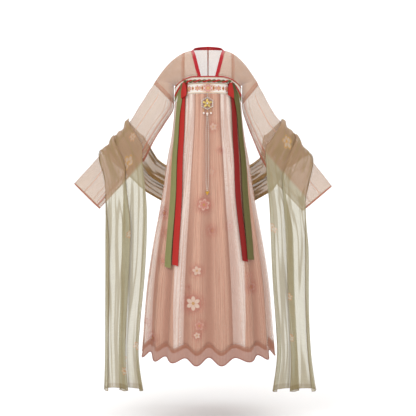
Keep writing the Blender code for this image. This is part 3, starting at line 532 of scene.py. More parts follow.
def drift(place, seed=0):
    """A soft wandering value from -1 to 1 along a line."""
    start = floor(place)
    share = smooth(place - start)
    return mix(chance(start + seed * 57), chance(start + 1 + seed * 57), share) * 2 - 1


def shares(count, ring=False):
    """Even steps from 0 to 1, without the last one where they go round a ring."""
    return [step / count for step in range(count if ring else count + 1)]


def neighbours(rows, position):
    """The four rows round a fractional place, and their shares on a smooth curve."""
    last = len(rows) - 1
    index = int(clamp(position, 0, last - 1e-9))
    t = position - index
    found = [rows[int(clamp(place, 0, last))] for place in range(index - 1, index + 3)]
    return found, (
        (-(t**3) + 2 * t**2 - t) / 2,
        (3 * t**3 - 5 * t**2 + 2) / 2,
        (-3 * t**3 + 4 * t**2 + t) / 2,
        (t**3 - t**2) / 2,
    )


def row_at(table, position):
    """The row of a table at a fractional place, on a smooth curve through its rows."""
    rows, parts = neighbours(table, position)
    return [sum(v * w for v, w in zip(values, parts)) for values in zip(*rows)]


def finer(points, steps):
    """The points with more between them, on a smooth curve through the old ones."""
    found = []
    for step in range((len(points) - 1) * steps + 1):
        near, parts = neighbours(points, step / steps)
        found.append(sum((point * part for point, part in zip(near, parts)), Vector()))
    return found


def refined(grid, row_steps, column_steps):
    """A grid of points with more rows and columns, on smooth curves through the old ones."""
    columns = [finer(column, row_steps) for column in zip(*grid)]
    return [finer(row, column_steps) for row in zip(*columns)]


def look_up(table, key):
    """The other columns of a table at this value of its first column, in straight steps."""
    rows = sorted(table)
    if key <= rows[0][0]:
        return rows[0][1:]
    for low, high in zip(rows, rows[1:]):
        if key <= high[0]:
            share = (key - low[0]) / (high[0] - low[0])
            return [mix(a, b, share) for a, b in zip(low[1:], high[1:])]
    return rows[-1][1:]


def skirt_size(z):
    """The skirt's half-width and half-depth at this height, on a smooth curve."""
    last = len(SKIRT_SHAPE) - 1
    index = 0
    while index < last - 1 and z > SKIRT_SHAPE[index + 1][0]:
        index += 1
    low = SKIRT_SHAPE[index]
    high = SKIRT_SHAPE[index + 1]
    span = high[0] - low[0]
    t = clamp((z - low[0]) / span)
    found = []
    for item in (1, 2):
        slopes = []
        for at in (index, index + 1):
            before = SKIRT_SHAPE[max(at - 1, 0)]
            after = SKIRT_SHAPE[min(at + 1, last)]
            slopes.append((after[item] - before[item]) / (after[0] - before[0]))
        found.append(
            (2 * t**3 - 3 * t**2 + 1) * low[item]
            + (t**3 - 2 * t**2 + t) * slopes[0] * span
            + (3 * t**2 - 2 * t**3) * high[item]
            + (t**3 - t**2) * slopes[1] * span
        )
    return found


# Cutting out: points and faces gathered for one piece.


class Cutting:
    """Points and faces of a piece, with its cloth measures in metres and its pattern places."""

    def __init__(self):
        self.points = []
        self.faces = []
        self.measures = []
        self.places = []

    def sheet(self, grid, ring=False, loop=False, turned=False, place=None):
        """A grid of faces. A ring joins its last column to the first, a loop its last row.
        The faces look to the side where columns run to the right of rows that run up."""
        rows = len(grid)
        columns = len(grid[0])
        first = len(self.points)
        for row in grid:
            self.points += row
        middle = grid[rows // 2]
        across = [0.0]
        for c in range(columns):
            across.append(across[-1] + (middle[(c + 1) % columns] - middle[c]).length)
        along = [0.0]
        for r in range(rows):
            step = grid[(r + 1) % rows][columns // 2] - grid[r][columns // 2]
            along.append(along[-1] + step.length)
        spans = max(columns - 1, 1), max(rows - 1, 1)
        for r in range(rows if loop else rows - 1):
            for c in range(columns if ring else columns - 1):
                corners = [(r, c), (r, c + 1), (r + 1, c + 1), (r + 1, c)]
                if turned:
                    corners.reverse()
                self.faces.append([first + (y % rows) * columns + x % columns for y, x in corners])
                self.measures.append([(across[x], along[y]) for y, x in corners])
                if place:
                    self.places.append([place(y, x) for y, x in corners])
                else:
                    self.places.append([(x / spans[0], y / spans[1]) for y, x in corners])
        return self

    def cap(self, row, mark):
        """One face across a closed row of points."""
        first = len(self.points)
        self.points += row
        self.faces.append(list(range(first, first + len(row))))
        self.measures.append([(0.0, 0.0)] * len(row))
        self.places.append([mark] * len(row))

    def rope(self, path, half_width, half_thick=None, sides=8, closed=False, twist=0.0,
             creases=0.0, mark=None):
        """A solid cord along a path, round or flat, creased or plain, turned as it goes on."""
        half_thick = half_thick or half_width
        count = len(path)
        grid = []
        up = None
        for step, point in enumerate(path):
            if closed:
                along = path[(step + 1) % count] - path[step - 1]
            else:
                along = path[min(step + 1, count - 1)] - path[max(step - 1, 0)]
            along.normalize()
            if up is None:
                up = Vector((0, 1, 0)) if abs(along.y) < 0.9 else Vector((1, 0, 0))
            up = (up - along * up.dot(along)).normalized()
            side = along.cross(up)
            start = twist * step / count
            ring = []
            for corner in range(sides):
                turn = 2 * pi * corner / sides
                size = 1 - creases * (1 + cos(5 * turn + start)) / 2
                ring.append(
                    point
                    + side * half_width * size * cos(turn)
                    + up * half_thick * size * sin(turn)
                )
            grid.append(ring)
        place = (lambda y, x: mark) if mark else None
        self.sheet(grid, ring=True, loop=closed, turned=True, place=place)
        if not closed:
            for end in (grid[0], grid[-1]):
                self.cap(end, mark or (0.0, 0.0))
        return self

    def wall(self, grid, thickness):
        """A closed wall of this thickness with the grid at its middle."""
        outside = moved_out(grid, thickness / 2)
        inside = moved_out(grid, -thickness / 2)
        self.sheet(outside)
        self.sheet(inside, turned=True)
        borders = []
        for face in (outside, inside):
            right = [row[-1] for row in face[1:-1]]
            left = [row[0] for row in face[-2:0:-1]]
            borders.append(face[0] + right + face[-1][::-1] + left)
        self.sheet(borders, ring=True, place=lambda y, x: (0.0, 0.0))
        return self

    def made(self, name, material, slot, *nodes, closed=False):
        """The gathered points and faces as a piece of the dress that stands for these nodes."""
        return dressed(self.piece(name, material, closed), slot, *nodes)

    def piece(self, name, material, closed=False):
        """The gathered points and faces as one object."""
        mesh = bpy.data.meshes.new(name)
        mesh.from_pydata([tuple(p) for p in self.points], [], self.faces)
        for layer_name, layer in (("cloth", self.measures), ("place", self.places)):
            layer_data = mesh.uv_layers.new(name=layer_name).data
            flat = [value for face in layer for corner in face for value in corner]
            layer_data.foreach_set("uv", flat)
        bm = bmesh.new()
        bm.from_mesh(mesh)
        bmesh.ops.remove_doubles(bm, verts=bm.verts, dist=1e-6)
        if closed:
            bmesh.ops.recalc_face_normals(bm, faces=bm.faces)
        bm.to_mesh(mesh)
        bm.free()
        mesh.shade_smooth()
        mesh.set_sharp_from_angle(angle=radians(60))
        mesh.materials.append(material)
        return put_in_scene(name, mesh)


def put_in_scene(name, mesh):
    made = bpy.data.objects.new(name, mesh)
    bpy.context.scene.collection.objects.link(made)
    return made


def dressed(piece, slot, *nodes):
    """The piece rides on the dress and stands for these nodes; the slot is not used."""
    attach(piece, "root")
    if nodes:
        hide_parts(*nodes)
    return piece


def normals_of(grid):
    """Unit normals of a grid, the column direction crossed with the row direction."""
    last_row = len(grid) - 1
    last_column = len(grid[0]) - 1
    found = []
    for r, row in enumerate(grid):
        line = []
        for c in range(last_column + 1):
            across = row[min(c + 1, last_column)] - row[max(c - 1, 0)]
            along = grid[min(r + 1, last_row)][c] - grid[max(r - 1, 0)][c]
            line.append(across.cross(along).normalized())
        found.append(line)
    return found


def moved_out(grid, distance):
    """The grid moved along its own normals, by a distance or by a function of row and column."""
    found = []
    for r, (row, line) in enumerate(zip(grid, normals_of(grid))):
        moved = []
        for c, (point, normal) in enumerate(zip(row, line)):
            by = distance(r, c) if callable(distance) else distance
            moved.append(point + normal * by)
        found.append(moved)
    return found


# Materials, written as expressions on wires.


class Wire:
    """An output socket that Python's own operators work on."""

    def __init__(self, recipe, socket):
        self.recipe = recipe
        self.socket = socket

    def math(self, operation, *others):
        values = dict(enumerate((self, *others)))
        return self.recipe.node("ShaderNodeMath", {"operation": operation}, values)

    def __add__(self, other):
        return self.math("ADD", other)

    __radd__ = __add__

    def __sub__(self, other):
        return self.math("SUBTRACT", other)

    def __rsub__(self, other):
        return self.recipe.node(
            "ShaderNodeMath", {"operation": "SUBTRACT"}, {0: other, 1: self}
        )

    def __mul__(self, other):
        return self.math("MULTIPLY", other)

    __rmul__ = __mul__

    def __truediv__(self, other):
        return self.math("DIVIDE", other)

    def __abs__(self):
        return self.math("ABSOLUTE")

    def sin(self):
        return self.math("SINE")

    def most(self, *others):
        """The highest of this value and the others."""
        found = self
        for other in others:
            found = found.math("MAXIMUM", other)
        return found

    def ramp(self, low, high):
        """0 to 1, with soft ends, as the value goes from low to high."""
        settings = {"interpolation_type": "SMOOTHSTEP"}
        return self.recipe.node("ShaderNodeMapRange", settings, {0: self, 1: low, 2: high})

    def near(self, middle, half, soft):
        """1 within half of middle, and 0 past soft more."""
        return 1 - abs(self - middle).ramp(half, half + soft)


class Recipe:
    """One material being made, round a Principled shader."""

    def __init__(self, name, colour, roughness, **constants):
        self.material = bpy.data.materials.new(name)
        self.material.use_nodes = True
        self.tree = self.material.node_tree
        self.shader = self.tree.nodes["Principled BSDF"]
        self.shader.inputs["Base Color"].default_value = (*shade_of(colour), 1)
        self.shader.inputs["Roughness"].default_value = roughness
        for socket, value in constants.items():
            self.shader.inputs[socket.replace("_", " ")].default_value = value

    def node(self, kind, settings, values, output=0):
        """A node of this type: its settings are set, then its sockets are set or linked."""
        made = self.tree.nodes.new(kind)
        for name, value in settings.items():
            setattr(made, name, value)
        for key, value in values.items():
            if isinstance(value, Wire):
                self.tree.links.new(value.socket, made.inputs[key])
            else:
                made.inputs[key].default_value = value
        return Wire(self, made.outputs[output])

    def coordinates(self, layer=None):
        """The three coordinates in metres, or a UV layer's two, as one wire."""
        if layer:
            return self.node("ShaderNodeUVMap", {"uv_map": layer}, {})
        return self.node("ShaderNodeTexCoord", {}, {}, "Object")

    def parts(self, vector):
        split = self.node("ShaderNodeSeparateXYZ", {}, {0: vector})
        return [Wire(self, output) for output in split.socket.node.outputs]

    def joined(self, x, y, z=0.0):
        return self.node("ShaderNodeCombineXYZ", {}, {0: x, 1: y, 2: z})

    def noise(self, vector, scale, detail=2.0):
        values = {"Vector": vector, "Scale": scale, "Detail": detail}
        return self.node("ShaderNodeTexNoise", {}, values, "Fac")

    def tint(self, under, over, mask, blend="MIX"):
        """One colour over another, by a mask. A colour is a wire, a name or three values."""
        under, over = (c if isinstance(c, Wire) else (*shade_of(c), 1) for c in (under, over))
        settings = {"data_type": "RGBA", "blend_type": blend}
        return self.node("ShaderNodeMix", settings, {0: mask, 6: under, 7: over}, 2)

    def put(self, name, wire):
        self.tree.links.new(wire.socket, self.shader.inputs[name])

    def done(self, colour, cover=None, height=None, rise=WEAVE_RISE):
        """The finished material: its colour, its cover, and a height from 0 to 1 that raises it."""
        self.put("Base Color", colour)
        if cover:
            self.put("Alpha", cover)
        if height:
            bump = self.node("ShaderNodeBump", {}, {"Height": height, "Distance": rise})
            self.put("Normal", bump)
        return self.material

    def scatter(self, vector, cells, least):
        """Offsets to the nearest of many loose places, and 1 where that place is taken."""
        values = {"Vector": vector, "Scale": cells, "Randomness": 0.8}
        near = self.node("ShaderNodeTexVoronoi", {"voronoi_dimensions": "2D"}, values, "Position")
        colour = Wire(self, near.socket.node.outputs["Color"])
        offset = self.node(
            "ShaderNodeVectorMath", {"operation": "SUBTRACT"}, {0: vector, 1: near}
        )
        dx, dy, _ = self.parts(offset)
        return dx, dy, self.parts(colour)[0].ramp(least, least + 0.01)

    def blossom(self, dx, dy, size, turn=0.0, petals=5):
        """The masks of a flower whose centre is at dx = dy = 0."""
        radius = (dx * dx + dy * dy).math("SQRT") / size
        angle = dy.math("ARCTAN2", dx)
        wave = abs((angle * (petals / 2) + turn).sin())
        edge = 0.55 + wave * 0.45
        petal = 1 - (radius / edge).ramp(0.70, 1.05)
        return Flower(
            petal=petal,
            heart=1 - radius.ramp(0.16, 0.26),
            halo=1 - radius.ramp(0.6, 2.1),
            veins=petal * (1 - wave.ramp(0.0, 0.35)),
            rim=(radius / edge).near(0.80, 0.05, 0.12),
        )


def ruqun_sizes():
    return bpy.context.scene.ruqun_sizes


def shade_of(colour, darker=1.0):
    """Three values of a colour, which is one of the dress's by name or is given by its values."""
    if isinstance(colour, str):
        colour = getattr(bpy.context.scene.ruqun_colours, colour)
    return tuple(part * darker for part in colour)


# Torso ring, band and skirt.


def ring_point(angle, half_width, half_depth, z):
    turn = radians(angle)
    return Vector((half_width * sin(turn), -half_depth * cos(turn), z))


def folded_angle(angle):
    """The angle from the front, 0 to 180 degrees, on either side."""
    angle = abs(angle) % 360
    return 360 - angle if angle > 180 else angle


def band_top(angle):
    slope = (folded_angle(angle) - BAND_FLAT_ANGLE) / BAND_SLOPE_ANGLE
    return BAND_TOP_FRONT - BAND_TOP_DROP * smooth(slope)


def band_point(angle, below_top, out):
    """A point round the chest: out is its distance from the shan's outer face."""
    z = band_top(angle) - below_top
    return ring_point(angle, TORSO_HALF_WIDTH + out, TORSO_HALF_DEPTH + out, z)


def band_ring(count, below_top, out):
    return [band_point(360 * share, below_top, out) for share in shares(count, ring=True)]


def column_angle(column):
    """The angle of a skirt column; columns are evenly shared out between the crests."""
    flute, part = divmod(column % SKIRT_COLUMNS, COLUMNS_PER_FLUTE)
    start = CRESTS[int(flute)]
    end = CRESTS[(int(flute) + 1) % len(CRESTS)]
    return start + ((end - start) % 360) * part / COLUMNS_PER_FLUTE


def skirt_inset(column, share):
    """How far a point lies inside the crests' envelope, at this share of the skirt's length."""
    sizes = ruqun_sizes()
    turn = 2 * pi * column / SKIRT_COLUMNS
    pleats = sizes.pleat_depth * (1 - smooth(share / PLEATS_END)) * hump(pi * column)
    gathers = sizes.gather_depth * (1 - smooth(share / GATHERS_END)) * hump(turn * GATHERS_ROUND)
    drape = sizes.drape_depth * smooth(share * 2.5) * (1 - 0.5 * smooth(share * 4 - 3))
    first, second = DRAPE_ROUND
    waves = 2 + cos(first * turn + 4 * share) + cos(second * turn - 3 * share + 1)
    flutes = mix(FLUTE_DEPTH_TOP, FLUTE_DEPTH_HEM, share**FLUTE_GROWTH)
    flutes *= hump(2 * pi * column / COLUMNS_PER_FLUTE)
    return pleats + gathers + drape * waves / 4 + flutes


def skirt_envelope(angle, z, out):
    """A point on the skirt's outline over its crests, moved out."""
    half_width, half_depth = skirt_size(z)
    return ring_point(angle, half_width + out, half_depth + out, z)


def skirt_point(column, share, out):
    angle = column_angle(column)
    top = band_top(angle) - BAND_HEIGHT - SEAM
    scallop = cos(2 * pi * column / COLUMNS_PER_FLUTE)
    change = HEM_WAVE_CHANGE * (cos(10 * pi * column / SKIRT_COLUMNS + 1) - 1)
    hem = HEM_HEIGHT - HEM_WAVE * scallop * (1 + change)
    return skirt_envelope(angle, mix(top, hem, share), out - skirt_inset(column, share))


def skirt_layer(rows, length, gap_top, gap_hem, hem_radius):
    """One layer of the skirt, once round from the back and up from its rolled hem."""
    columns = [BACK_COLUMN + step / SKIRT_STEPS for step in range(SKIRT_COLUMNS * SKIRT_STEPS)]
    down = [share**ROW_SPACING_POWER for share in shares(rows)[::-1]]
    grid = []
    for share in down:
        out = -mix(gap_top, gap_hem, share)
        grid.append([skirt_point(column, share * length, out) for column in columns])
    cutting = Cutting()
    cutting.sheet(grid, ring=True, place=lambda y, x: (BACK_COLUMN + x / SKIRT_STEPS, down[y]))
    return cutting.rope(grid[0], hem_radius, closed=True, mark=HEM_MARK)


def make_skirt():
    cutting = skirt_layer(72, 1.0, 0, 0, ruqun_sizes().hem_radius)
    nodes = [f"skirt_panel_{number}" for number in range(1, 9)]
    outer = cutting.made("skirt_outer", skirt_gauze(), "skirt_gauze", *nodes)


def make_lining():
    gaps = CLOTH + LINING_GAP_TOP, CLOTH + LINING_GAP_HEM
    cutting = skirt_layer(60, LINING_LENGTH, *gaps, LINING_HEM)
    nodes = [f"lining_gore_{number:02d}" for number in range(1, 14)]
    lining = cutting.made("skirt_lining", lining_cloth(), "lining_pink", *nodes)


def make_band():
    middle = (BAND_INSIDE + BAND_OUTSIDE) / 2
    profile = [(0, middle), (BAND_EDGE, BAND_OUTSIDE)]
    profile += [(BAND_HEIGHT * share, BAND_OUTSIDE) for share in shares(8)[1:-1]]
    profile += [
        (BAND_HEIGHT - BAND_EDGE, BAND_OUTSIDE),
        (BAND_HEIGHT, middle),
        (BAND_HEIGHT - BAND_EDGE, BAND_INSIDE),
        (BAND_EDGE, BAND_INSIDE),
    ]
    grid = [band_ring(180, below, out) for below, out in profile]
    cutting = Cutting().sheet(grid, ring=True, loop=True)
    band = cutting.made("band", band_satin(), "white_satin", "chest_band", closed=True)

    ring = band_ring(240, -PIPING_RISE, middle)
    cutting = Cutting().rope(ring, *PIPING_SIZE, sides=14, closed=True)
    cutting.made("piping", satin("piping_satin", "red"), "red_satin", "band_piping", closed=True)

    cutting = Cutting()
    face = BAND_OUTSIDE + SEAM + 0.35 * MM
    for phase in (0, pi):
        strand = []
        for share in shares(8 * GOLD_LINE_TURNS, ring=True):
            turn = 2 * pi * GOLD_LINE_TURNS * share + phase
            below = GOLD_LINE_BELOW + GOLD_LINE_HELIX * cos(turn)
            strand.append(band_point(360 * share, below, face + GOLD_LINE_HELIX * sin(turn)))
        cutting.rope(strand, GOLD_LINE_STRAND, sides=5, closed=True)
    material = metal("gold_thread", "gold", 0.38)
    cutting.made("gold_line", material, "gold", "band_gold_line", closed=True)


def make_panel():
    face = BAND_OUTSIDE + SEAM + PANEL_WALL / 2
    upper, lower = PANEL_EDGES
    grid = []
    for up in shares(12):
        below = mix(lower, upper, up)
        angles = [PANEL_HALF_ANGLE * (2 * share - 1) for share in shares(60)]
        grid.append([band_point(angle, below, face) for angle in angles])
    cutting = Cutting().wall(grid, PANEL_WALL)
    panel = cutting.made("front_panel", embroidery(), "embroidery", "band_panel", closed=True)


# Sleeves.


def sleeve_point(side, station, angle, out):
    """A point round the sleeve: angle 0 is its upper edge, 90 its front and 180 its lower edge."""
    top_x, top_z, low_x, low_z, half_depth = row_at(SLEEVES[side], station)
    sign = SIDES[side]
    top = Vector((sign * top_x, 0, top_z))
    low = Vector((sign * low_x, 0, low_z))
    half = (top - low) / 2
    turn = radians(angle)
    out += SLEEVE_FOLD * sin(SLEEVE_FOLDS_ROUND * turn + 0.9 * station) * smooth((station - 1) / 2)
    across = half.normalized() * (half.length + out) * cos(turn)
    return (top + low) / 2 + across - Vector((0, (half_depth + out) * sin(turn), 0))


def sleeve_crease(station, angle):
    """Small creases of the cloth, inside the sleeve's main form; they turn slowly along it."""
    turn = radians(angle)
    depth = ruqun_sizes().crease_depth * smooth(station / CREASE_FADE)
    depth *= 1 - smooth((station - CREASE_LAST_STATION) / CREASE_FADE)
    depth *= 1 - clamp(-cos(turn)) ** 2 * (1 - smooth((station - UNDERARM_STATION) / CREASE_FADE))
    few, many = CREASES_ROUND
    first = cos(few * turn + 2.1 * station + 1.5 * cos(1.3 * station))
    second = cos(many * turn - 2.9 * station)
    return -depth * (2 + first + second) / 4


def make_sleeves():
    for side, sign in SIDES.items():
        x, _, z = SHOULDER_ARRIVE
        start = Vector((sign * x, 0, z)).normalized() * 2 * SEAM
        grid = []
        for row in range(SLEEVE_ROWS + 1):
            station = row / SLEEVE_ROWS_PER_STATION
            ring = []
            for share in shares(96, ring=True):
                out = sleeve_crease(station, 360 * share) - CLOTH / 2
                ring.append(sleeve_point(side, station, 360 * share, out))
            grid.append(ring)
        grid[0] = [point + start for point in grid[0]]
        cutting = Cutting().sheet(grid, ring=True, turned=sign > 0)
        cutting.rope(grid[-1], CUFF_RADIUS, closed=True, mark=CUFF_MARK)
        material = sleeve_gauze(side)
        sleeve = cutting.made(f"worn_sleeve_{side}", material, "shan_gauze", f"sleeve_{side}")


# Shan body and collar.


def front_depth(z):
    """How far the chest stands forward of the shoulder at this height."""
    rise = clamp((z + CHEST_DEPTH_BELOW) / (NECK_SIDE_Z + CHEST_DEPTH_BELOW))
    return TORSO_HALF_DEPTH * sqrt(1 - rise * rise)


def front_edge(sign, z):
    """The collar seam down the front."""
    x = max(FRONT_EDGE_LEAST, NECK_HALF_WIDTH + FRONT_EDGE_SLOPE * z)
    y = -front_depth(z) * sqrt(1 - (x / TORSO_HALF_WIDTH) ** 2)
    return Vector((sign * x, y, z))


def neck_edge(sign, neck_angle):
    """The collar seam round the back of the neck: 0 at the shoulder, 90 at the centre back."""
    turn = radians(neck_angle)
    x = max(SEAM / 2, (NECK_HALF_WIDTH + FRONT_EDGE_SLOPE * NECK_SIDE_Z) * cos(turn))
    rise = NECK_RISE * sin(turn) ** NECK_ARCH_POWER
    return Vector((sign * x, NECK_DEPTH * sin(turn), NECK_SIDE_Z + rise))


def back_edge(sign, z):
    """The centre back seam, a hair from the other half's."""
    top = NECK_SIDE_Z + NECK_RISE
    share = clamp((top - z) / 0.2)
    y = mix(NECK_DEPTH, TORSO_HALF_DEPTH, sin(share * pi / 2))
    return Vector((sign * SEAM / 2, y, z))


def bent_row(start, leave, end, arrive):
    """Points on the Bezier curve between two ends, with these two end directions."""
    first = (start + leave) * 3
    second = (end - arrive) * 3
    row = []
    for t in shares(SHAN_COLUMNS):
        s = 1 - t
        row.append(start * s**3 + first * t * s**2 + second * t * t * s + end * t**3)
    return row


def torso_row(sign, start, face, place):
    """A row from here to the side seam; face is -1 at the front and 1 at the back."""
    first = degrees(asin(abs(start.x) / TORSO_HALF_WIDTH))
    row = []
    for share in shares(SHAN_COLUMNS):
        angle = mix(first, 90, share)
        row.append(place(sign * (180 - angle if face > 0 else angle), share))
    row[-1].y = face * SEAM / 2
    return row


def side_row(sign, start, face):
    """A level row."""

    def place(angle, share):
        return ring_point(angle, TORSO_HALF_WIDTH, TORSO_HALF_DEPTH, start.z) if share else start

    return torso_row(sign, start, face, place)


def rim_row(sign, start, face, rise_at_middle, rise_at_side, out_at_side):
    """A row that follows the band's top edge, this far above it, and leans out at the side."""

    def place(angle, share):
        return band_point(angle, -mix(rise_at_middle, rise_at_side, share), out_at_side * share**4)

    return torso_row(sign, start, face, place)


def armhole_row(side, start, face, angle):
    """A row that ends on the armhole ring."""
    end = sleeve_point(side, 0, -face * angle, 0)
    under = sin(radians(angle) / 2) ** 4
    x, y, z = (mix(a, b, under) for a, b in zip(SHOULDER_ARRIVE, UNDERARM_ARRIVE))
    span = end - start
    leave = Vector((span.x * SHAN_LEAVE[0], 0, span.z * SHAN_LEAVE[1]))
    return bent_row(start, leave, end, Vector((SIDES[side] * x, -face * y, z)))


def shan_grid(side):
    sign = SIDES[side]
    rows = [side_row(sign, front_edge(sign, z), -1) for z in SHAN_SIDE_ROWS]
    for rises in SHAN_RIM_ROWS:
        z = BAND_TOP_FRONT + rises[0]
        rows.append(rim_row(sign, front_edge(sign, z), -1, *rises))
    for z, angle in SHAN_FRONT_ROWS:
        rows.append(armhole_row(side, front_edge(sign, z), -1, angle))
    for neck_angle, angle in SHAN_NECK_ROWS:
        rows.append(armhole_row(side, neck_edge(sign, neck_angle), 1, angle))
    for z, angle in SHAN_BACK_ROWS:
        rows.append(armhole_row(side, back_edge(sign, z), 1, angle))
    for rises in reversed(SHAN_RIM_ROWS):
        rows.append(rim_row(sign, back_edge(sign, 0), 1, *rises))
    rows += [side_row(sign, back_edge(sign, z), 1) for z in reversed(SHAN_SIDE_ROWS)]
    return rows


def make_shan():
    gauze = shan_gauze()
    for side, sign in SIDES.items():
        grid = moved_out(refined(shan_grid(side), SHAN_REFINED, SHAN_REFINED), -sign * CLOTH / 2)
        cutting = Cutting().sheet(grid, turned=sign < 0)
        tucks = [f"shan_tuck_{face}_{side}" for face in ("front", "back")]
        body = cutting.made(f"shan_{side}", gauze, "shan_gauze", f"shan_body_{side}", *tucks)


def collar_stations():
    """Seam points and the directions across the collar, up the left front and down the right."""
    halves = []
    for sign in SIDES.values():
        half = []
        for z in COLLAR_HEIGHTS:
            across = Vector((-sign, 0, COLLAR_LIFT * (1 - clamp(-z / COLLAR_LIFT_START))))
            half.append((front_edge(sign, z), across.normalized()))
        for neck_angle in COLLAR_NECK_ANGLES:
            turn = radians(neck_angle)
            lift = mix(COLLAR_LIFT, 1, sin(turn))
            across = Vector((-sign * cos(turn), -COLLAR_LEAN_BACK * sin(turn), lift))
            half.append((neck_edge(sign, neck_angle), across.normalized()))
        halves.append(half)
    left, right = halves
    centre_back = left[-1][0]
    centre_back.x = 0
    return left + right[-2::-1]


def make_collar():
    grid = []
    for seam, across in collar_stations():
        inner = seam - across * COLLAR_OVER
        outer = seam + across * COLLAR_WIDTH
        grid.append([outer, outer.lerp(inner, 0.5), inner])
    cutting = Cutting().wall(moved_out(refined(grid, 8, 3), COLLAR_SHIFT), COLLAR_WALL)
    material = satin("collar_satin", "red")
    collar = cutting.made("red_collar", material, "red_satin", "collar", closed=True)


# Ties.


def make_wraps():
    for colour, start_below, settled_below in WRAPS:
        grid = []
        for across in range(11):
            line = []
            for part in shares(180):
                angle = mix(WRAP_FIRST_ANGLE, 360 - WRAP_FIRST_ANGLE, part)
                turned = folded_angle(angle) - WRAP_FIRST_ANGLE
                settled = smooth(turned / (WRAP_SETTLED_ANGLE - WRAP_FIRST_ANGLE))
                width = mix(TIE_WIDTH_AT_KNOT, 1.0, settled) * TIE_WIDTH
                below = mix(start_below, settled_below, settled) + width * (0.5 - across / 10)
                ripple = RIBBON_RIPPLE * (1 + cos(across * 1.9 + 2.4 * drift(angle / 25, 3)))
                out = BAND_OUTSIDE + SEAM + CLOTH / 2 + ripple
                line.append(band_point(angle, below, out))
            grid.append(line)
        name = f"wrap_{colour}"
        material = satin(f"{name}_satin", f"{colour}_ribbon")
        cutting = Cutting().wall(grid, RIBBON_WALL)
        wrap = cutting.made(f"ribbon_{name}", material, f"{colour}_satin", name, closed=True)


def make_cord():
    """Two ribbons twisted round each other in front of the band, from knot to knot."""
    crease = ruqun_sizes().ribbon_crease
    middle_out = BAND_OUTSIDE + SEAM + CORD_HELIX + CORD_CLEAR
    for colour, shade, phase in (("red", "red_ribbon", 0), ("green", "dark_green_ribbon", pi)):
        points = []
        for share in shares(216):
            angle = mix(*CORD_ENDS, share)
            turn = 2 * pi * CORD_TURNS * share + phase
            below = band_top(angle) - CORD_HEIGHT + CORD_HELIX * cos(turn)
            points.append(band_point(angle, below, middle_out + CORD_HELIX * sin(turn)))
        cutting = Cutting().rope(points, *CORD_SIZE, sides=30, creases=crease, twist=5.0)
        name = f"cord_{colour}"
        material = satin(f"{name}_satin", shade)
        cutting.made(f"twisted_{name}", material, f"{colour}_satin", name, closed=True)


def make_knots():
    """A trefoil of ribbon where the twist meets the hanging ribbons."""
    material = satin("knot_satin", "dark_green_ribbon")
    wide, deep, high = KNOT_REACH
    for side, angle in KNOT_ANGLES.items():
        below = band_top(angle) - CORD_HEIGHT - KNOT_RISE
        place = band_point(angle, below, BAND_OUTSIDE + SEAM + KNOT_OUT)
        turned = Matrix.Rotation(radians(angle), 3, "Z")
        path = []
        for share in shares(120, ring=True):
            turn = 2 * pi * share
            x = (sin(turn) + 2 * sin(2 * turn)) * wide
            z = (cos(turn) - 2 * cos(2 * turn)) * high
            path.append(place + turned @ Vector((x, -sin(3 * turn) * deep, z)))
        cutting = Cutting().rope(path, *KNOT_SIZE, sides=16, closed=True, creases=0.1)
        cutting.made(f"tied_knot_{side}", material, "green_satin", f"knot_{side}", closed=True)


def make_loops():
    """A ribbon folded back on itself at its lower end, hanging from the knot."""
    material = satin("loop_satin", "red_ribbon")
    for side, sign in SIDES.items():
        rows = []
        for layer, table in ((0, LOOP_ROWS), (1, LOOP_ROWS[::-1])):
            for z, half_width in table:
                row = []
                for across in (-1, -0.5, 0, 0.5, 1):
                    lower = LOOP_SLANT * across * sign * clamp((LOOP_ROWS[0][0] - z) / 0.05)
                    turn = degrees(across * half_width / TORSO_HALF_WIDTH)
                    out = LOOP_BACK + layer * LOOP_DEPTH
                    out += LOOP_BULGE * (layer * 2 - 1) * (1 - across * across)
                    row.append(skirt_envelope(LOOP_ANGLES[side] + turn, z - lower, out))
                rows.append(row)
        grid = refined(rows, 6, 4)
        for row in grid:
            for column, point in enumerate(row):
                point.y -= RIBBON_RIPPLE * cos(column * 2.3 + 1.5)
        name = f"loop_{side}"
        cutting = Cutting().wall(grid, RIBBON_WALL)
        loop = cutting.made(f"ribbon_{name}", material, "red_satin", name, closed=True)


def tail_grid(width, offset, route, seed):
    """A ribbon over the band and down the skirt's crests, gathered where it leaves the knot."""
    grid = []
    for row in range(TAIL_STEPS + 1):
        place = (len(route) - 1) * row / TAIL_STEPS
        angle, z = row_at(route, place)
        half_width = skirt_size(z)[0]
        over_band = TAIL_OVER_BAND * (1 - smooth((place - 1) / 0.75))
        spread = mix(TAIL_WIDTH_AT_KNOT, 1.0, smooth(place / 1.3))
        opened = smooth(place / TAIL_OPEN_AT)
        depth = mix(TAIL_FOLD_AT_KNOT, TAIL_FOLD_BELOW, opened)
        line = []
        for share in shares(16):
            across = 2 * share - 1
            turn = degrees(asin(width * spread * across / 2 / half_width))
            fold = cos(across * mix(*TAIL_FOLDS, opened) + 1.2 * drift(place * 1.7, seed))
            out = offset + over_band + CLOTH / 2 + depth * (1 + fold) / 2
            lower = TAIL_SLANT * across if row == TAIL_STEPS else 0
            line.append(skirt_envelope(angle + turn, z - lower, out))
        grid.append(line)
    return grid


def make_tails():
    for seed, (name, shade, width, offset, route) in enumerate(TAILS):
        grid = tail_grid(width, offset, route, seed)
        # The tails get painted shade where they are gathered under the knot.
        material = satin(f"{name}_satin", f"{shade}_ribbon", gathered=0.8)
        slot = "red_satin" if "red" in name else "green_satin"
        cutting = Cutting().wall(grid, ruqun_sizes().ribbon_thickness)
        tail = cutting.made(f"ribbon_{name}", material, slot, name, closed=True)


# Pendant and beads.


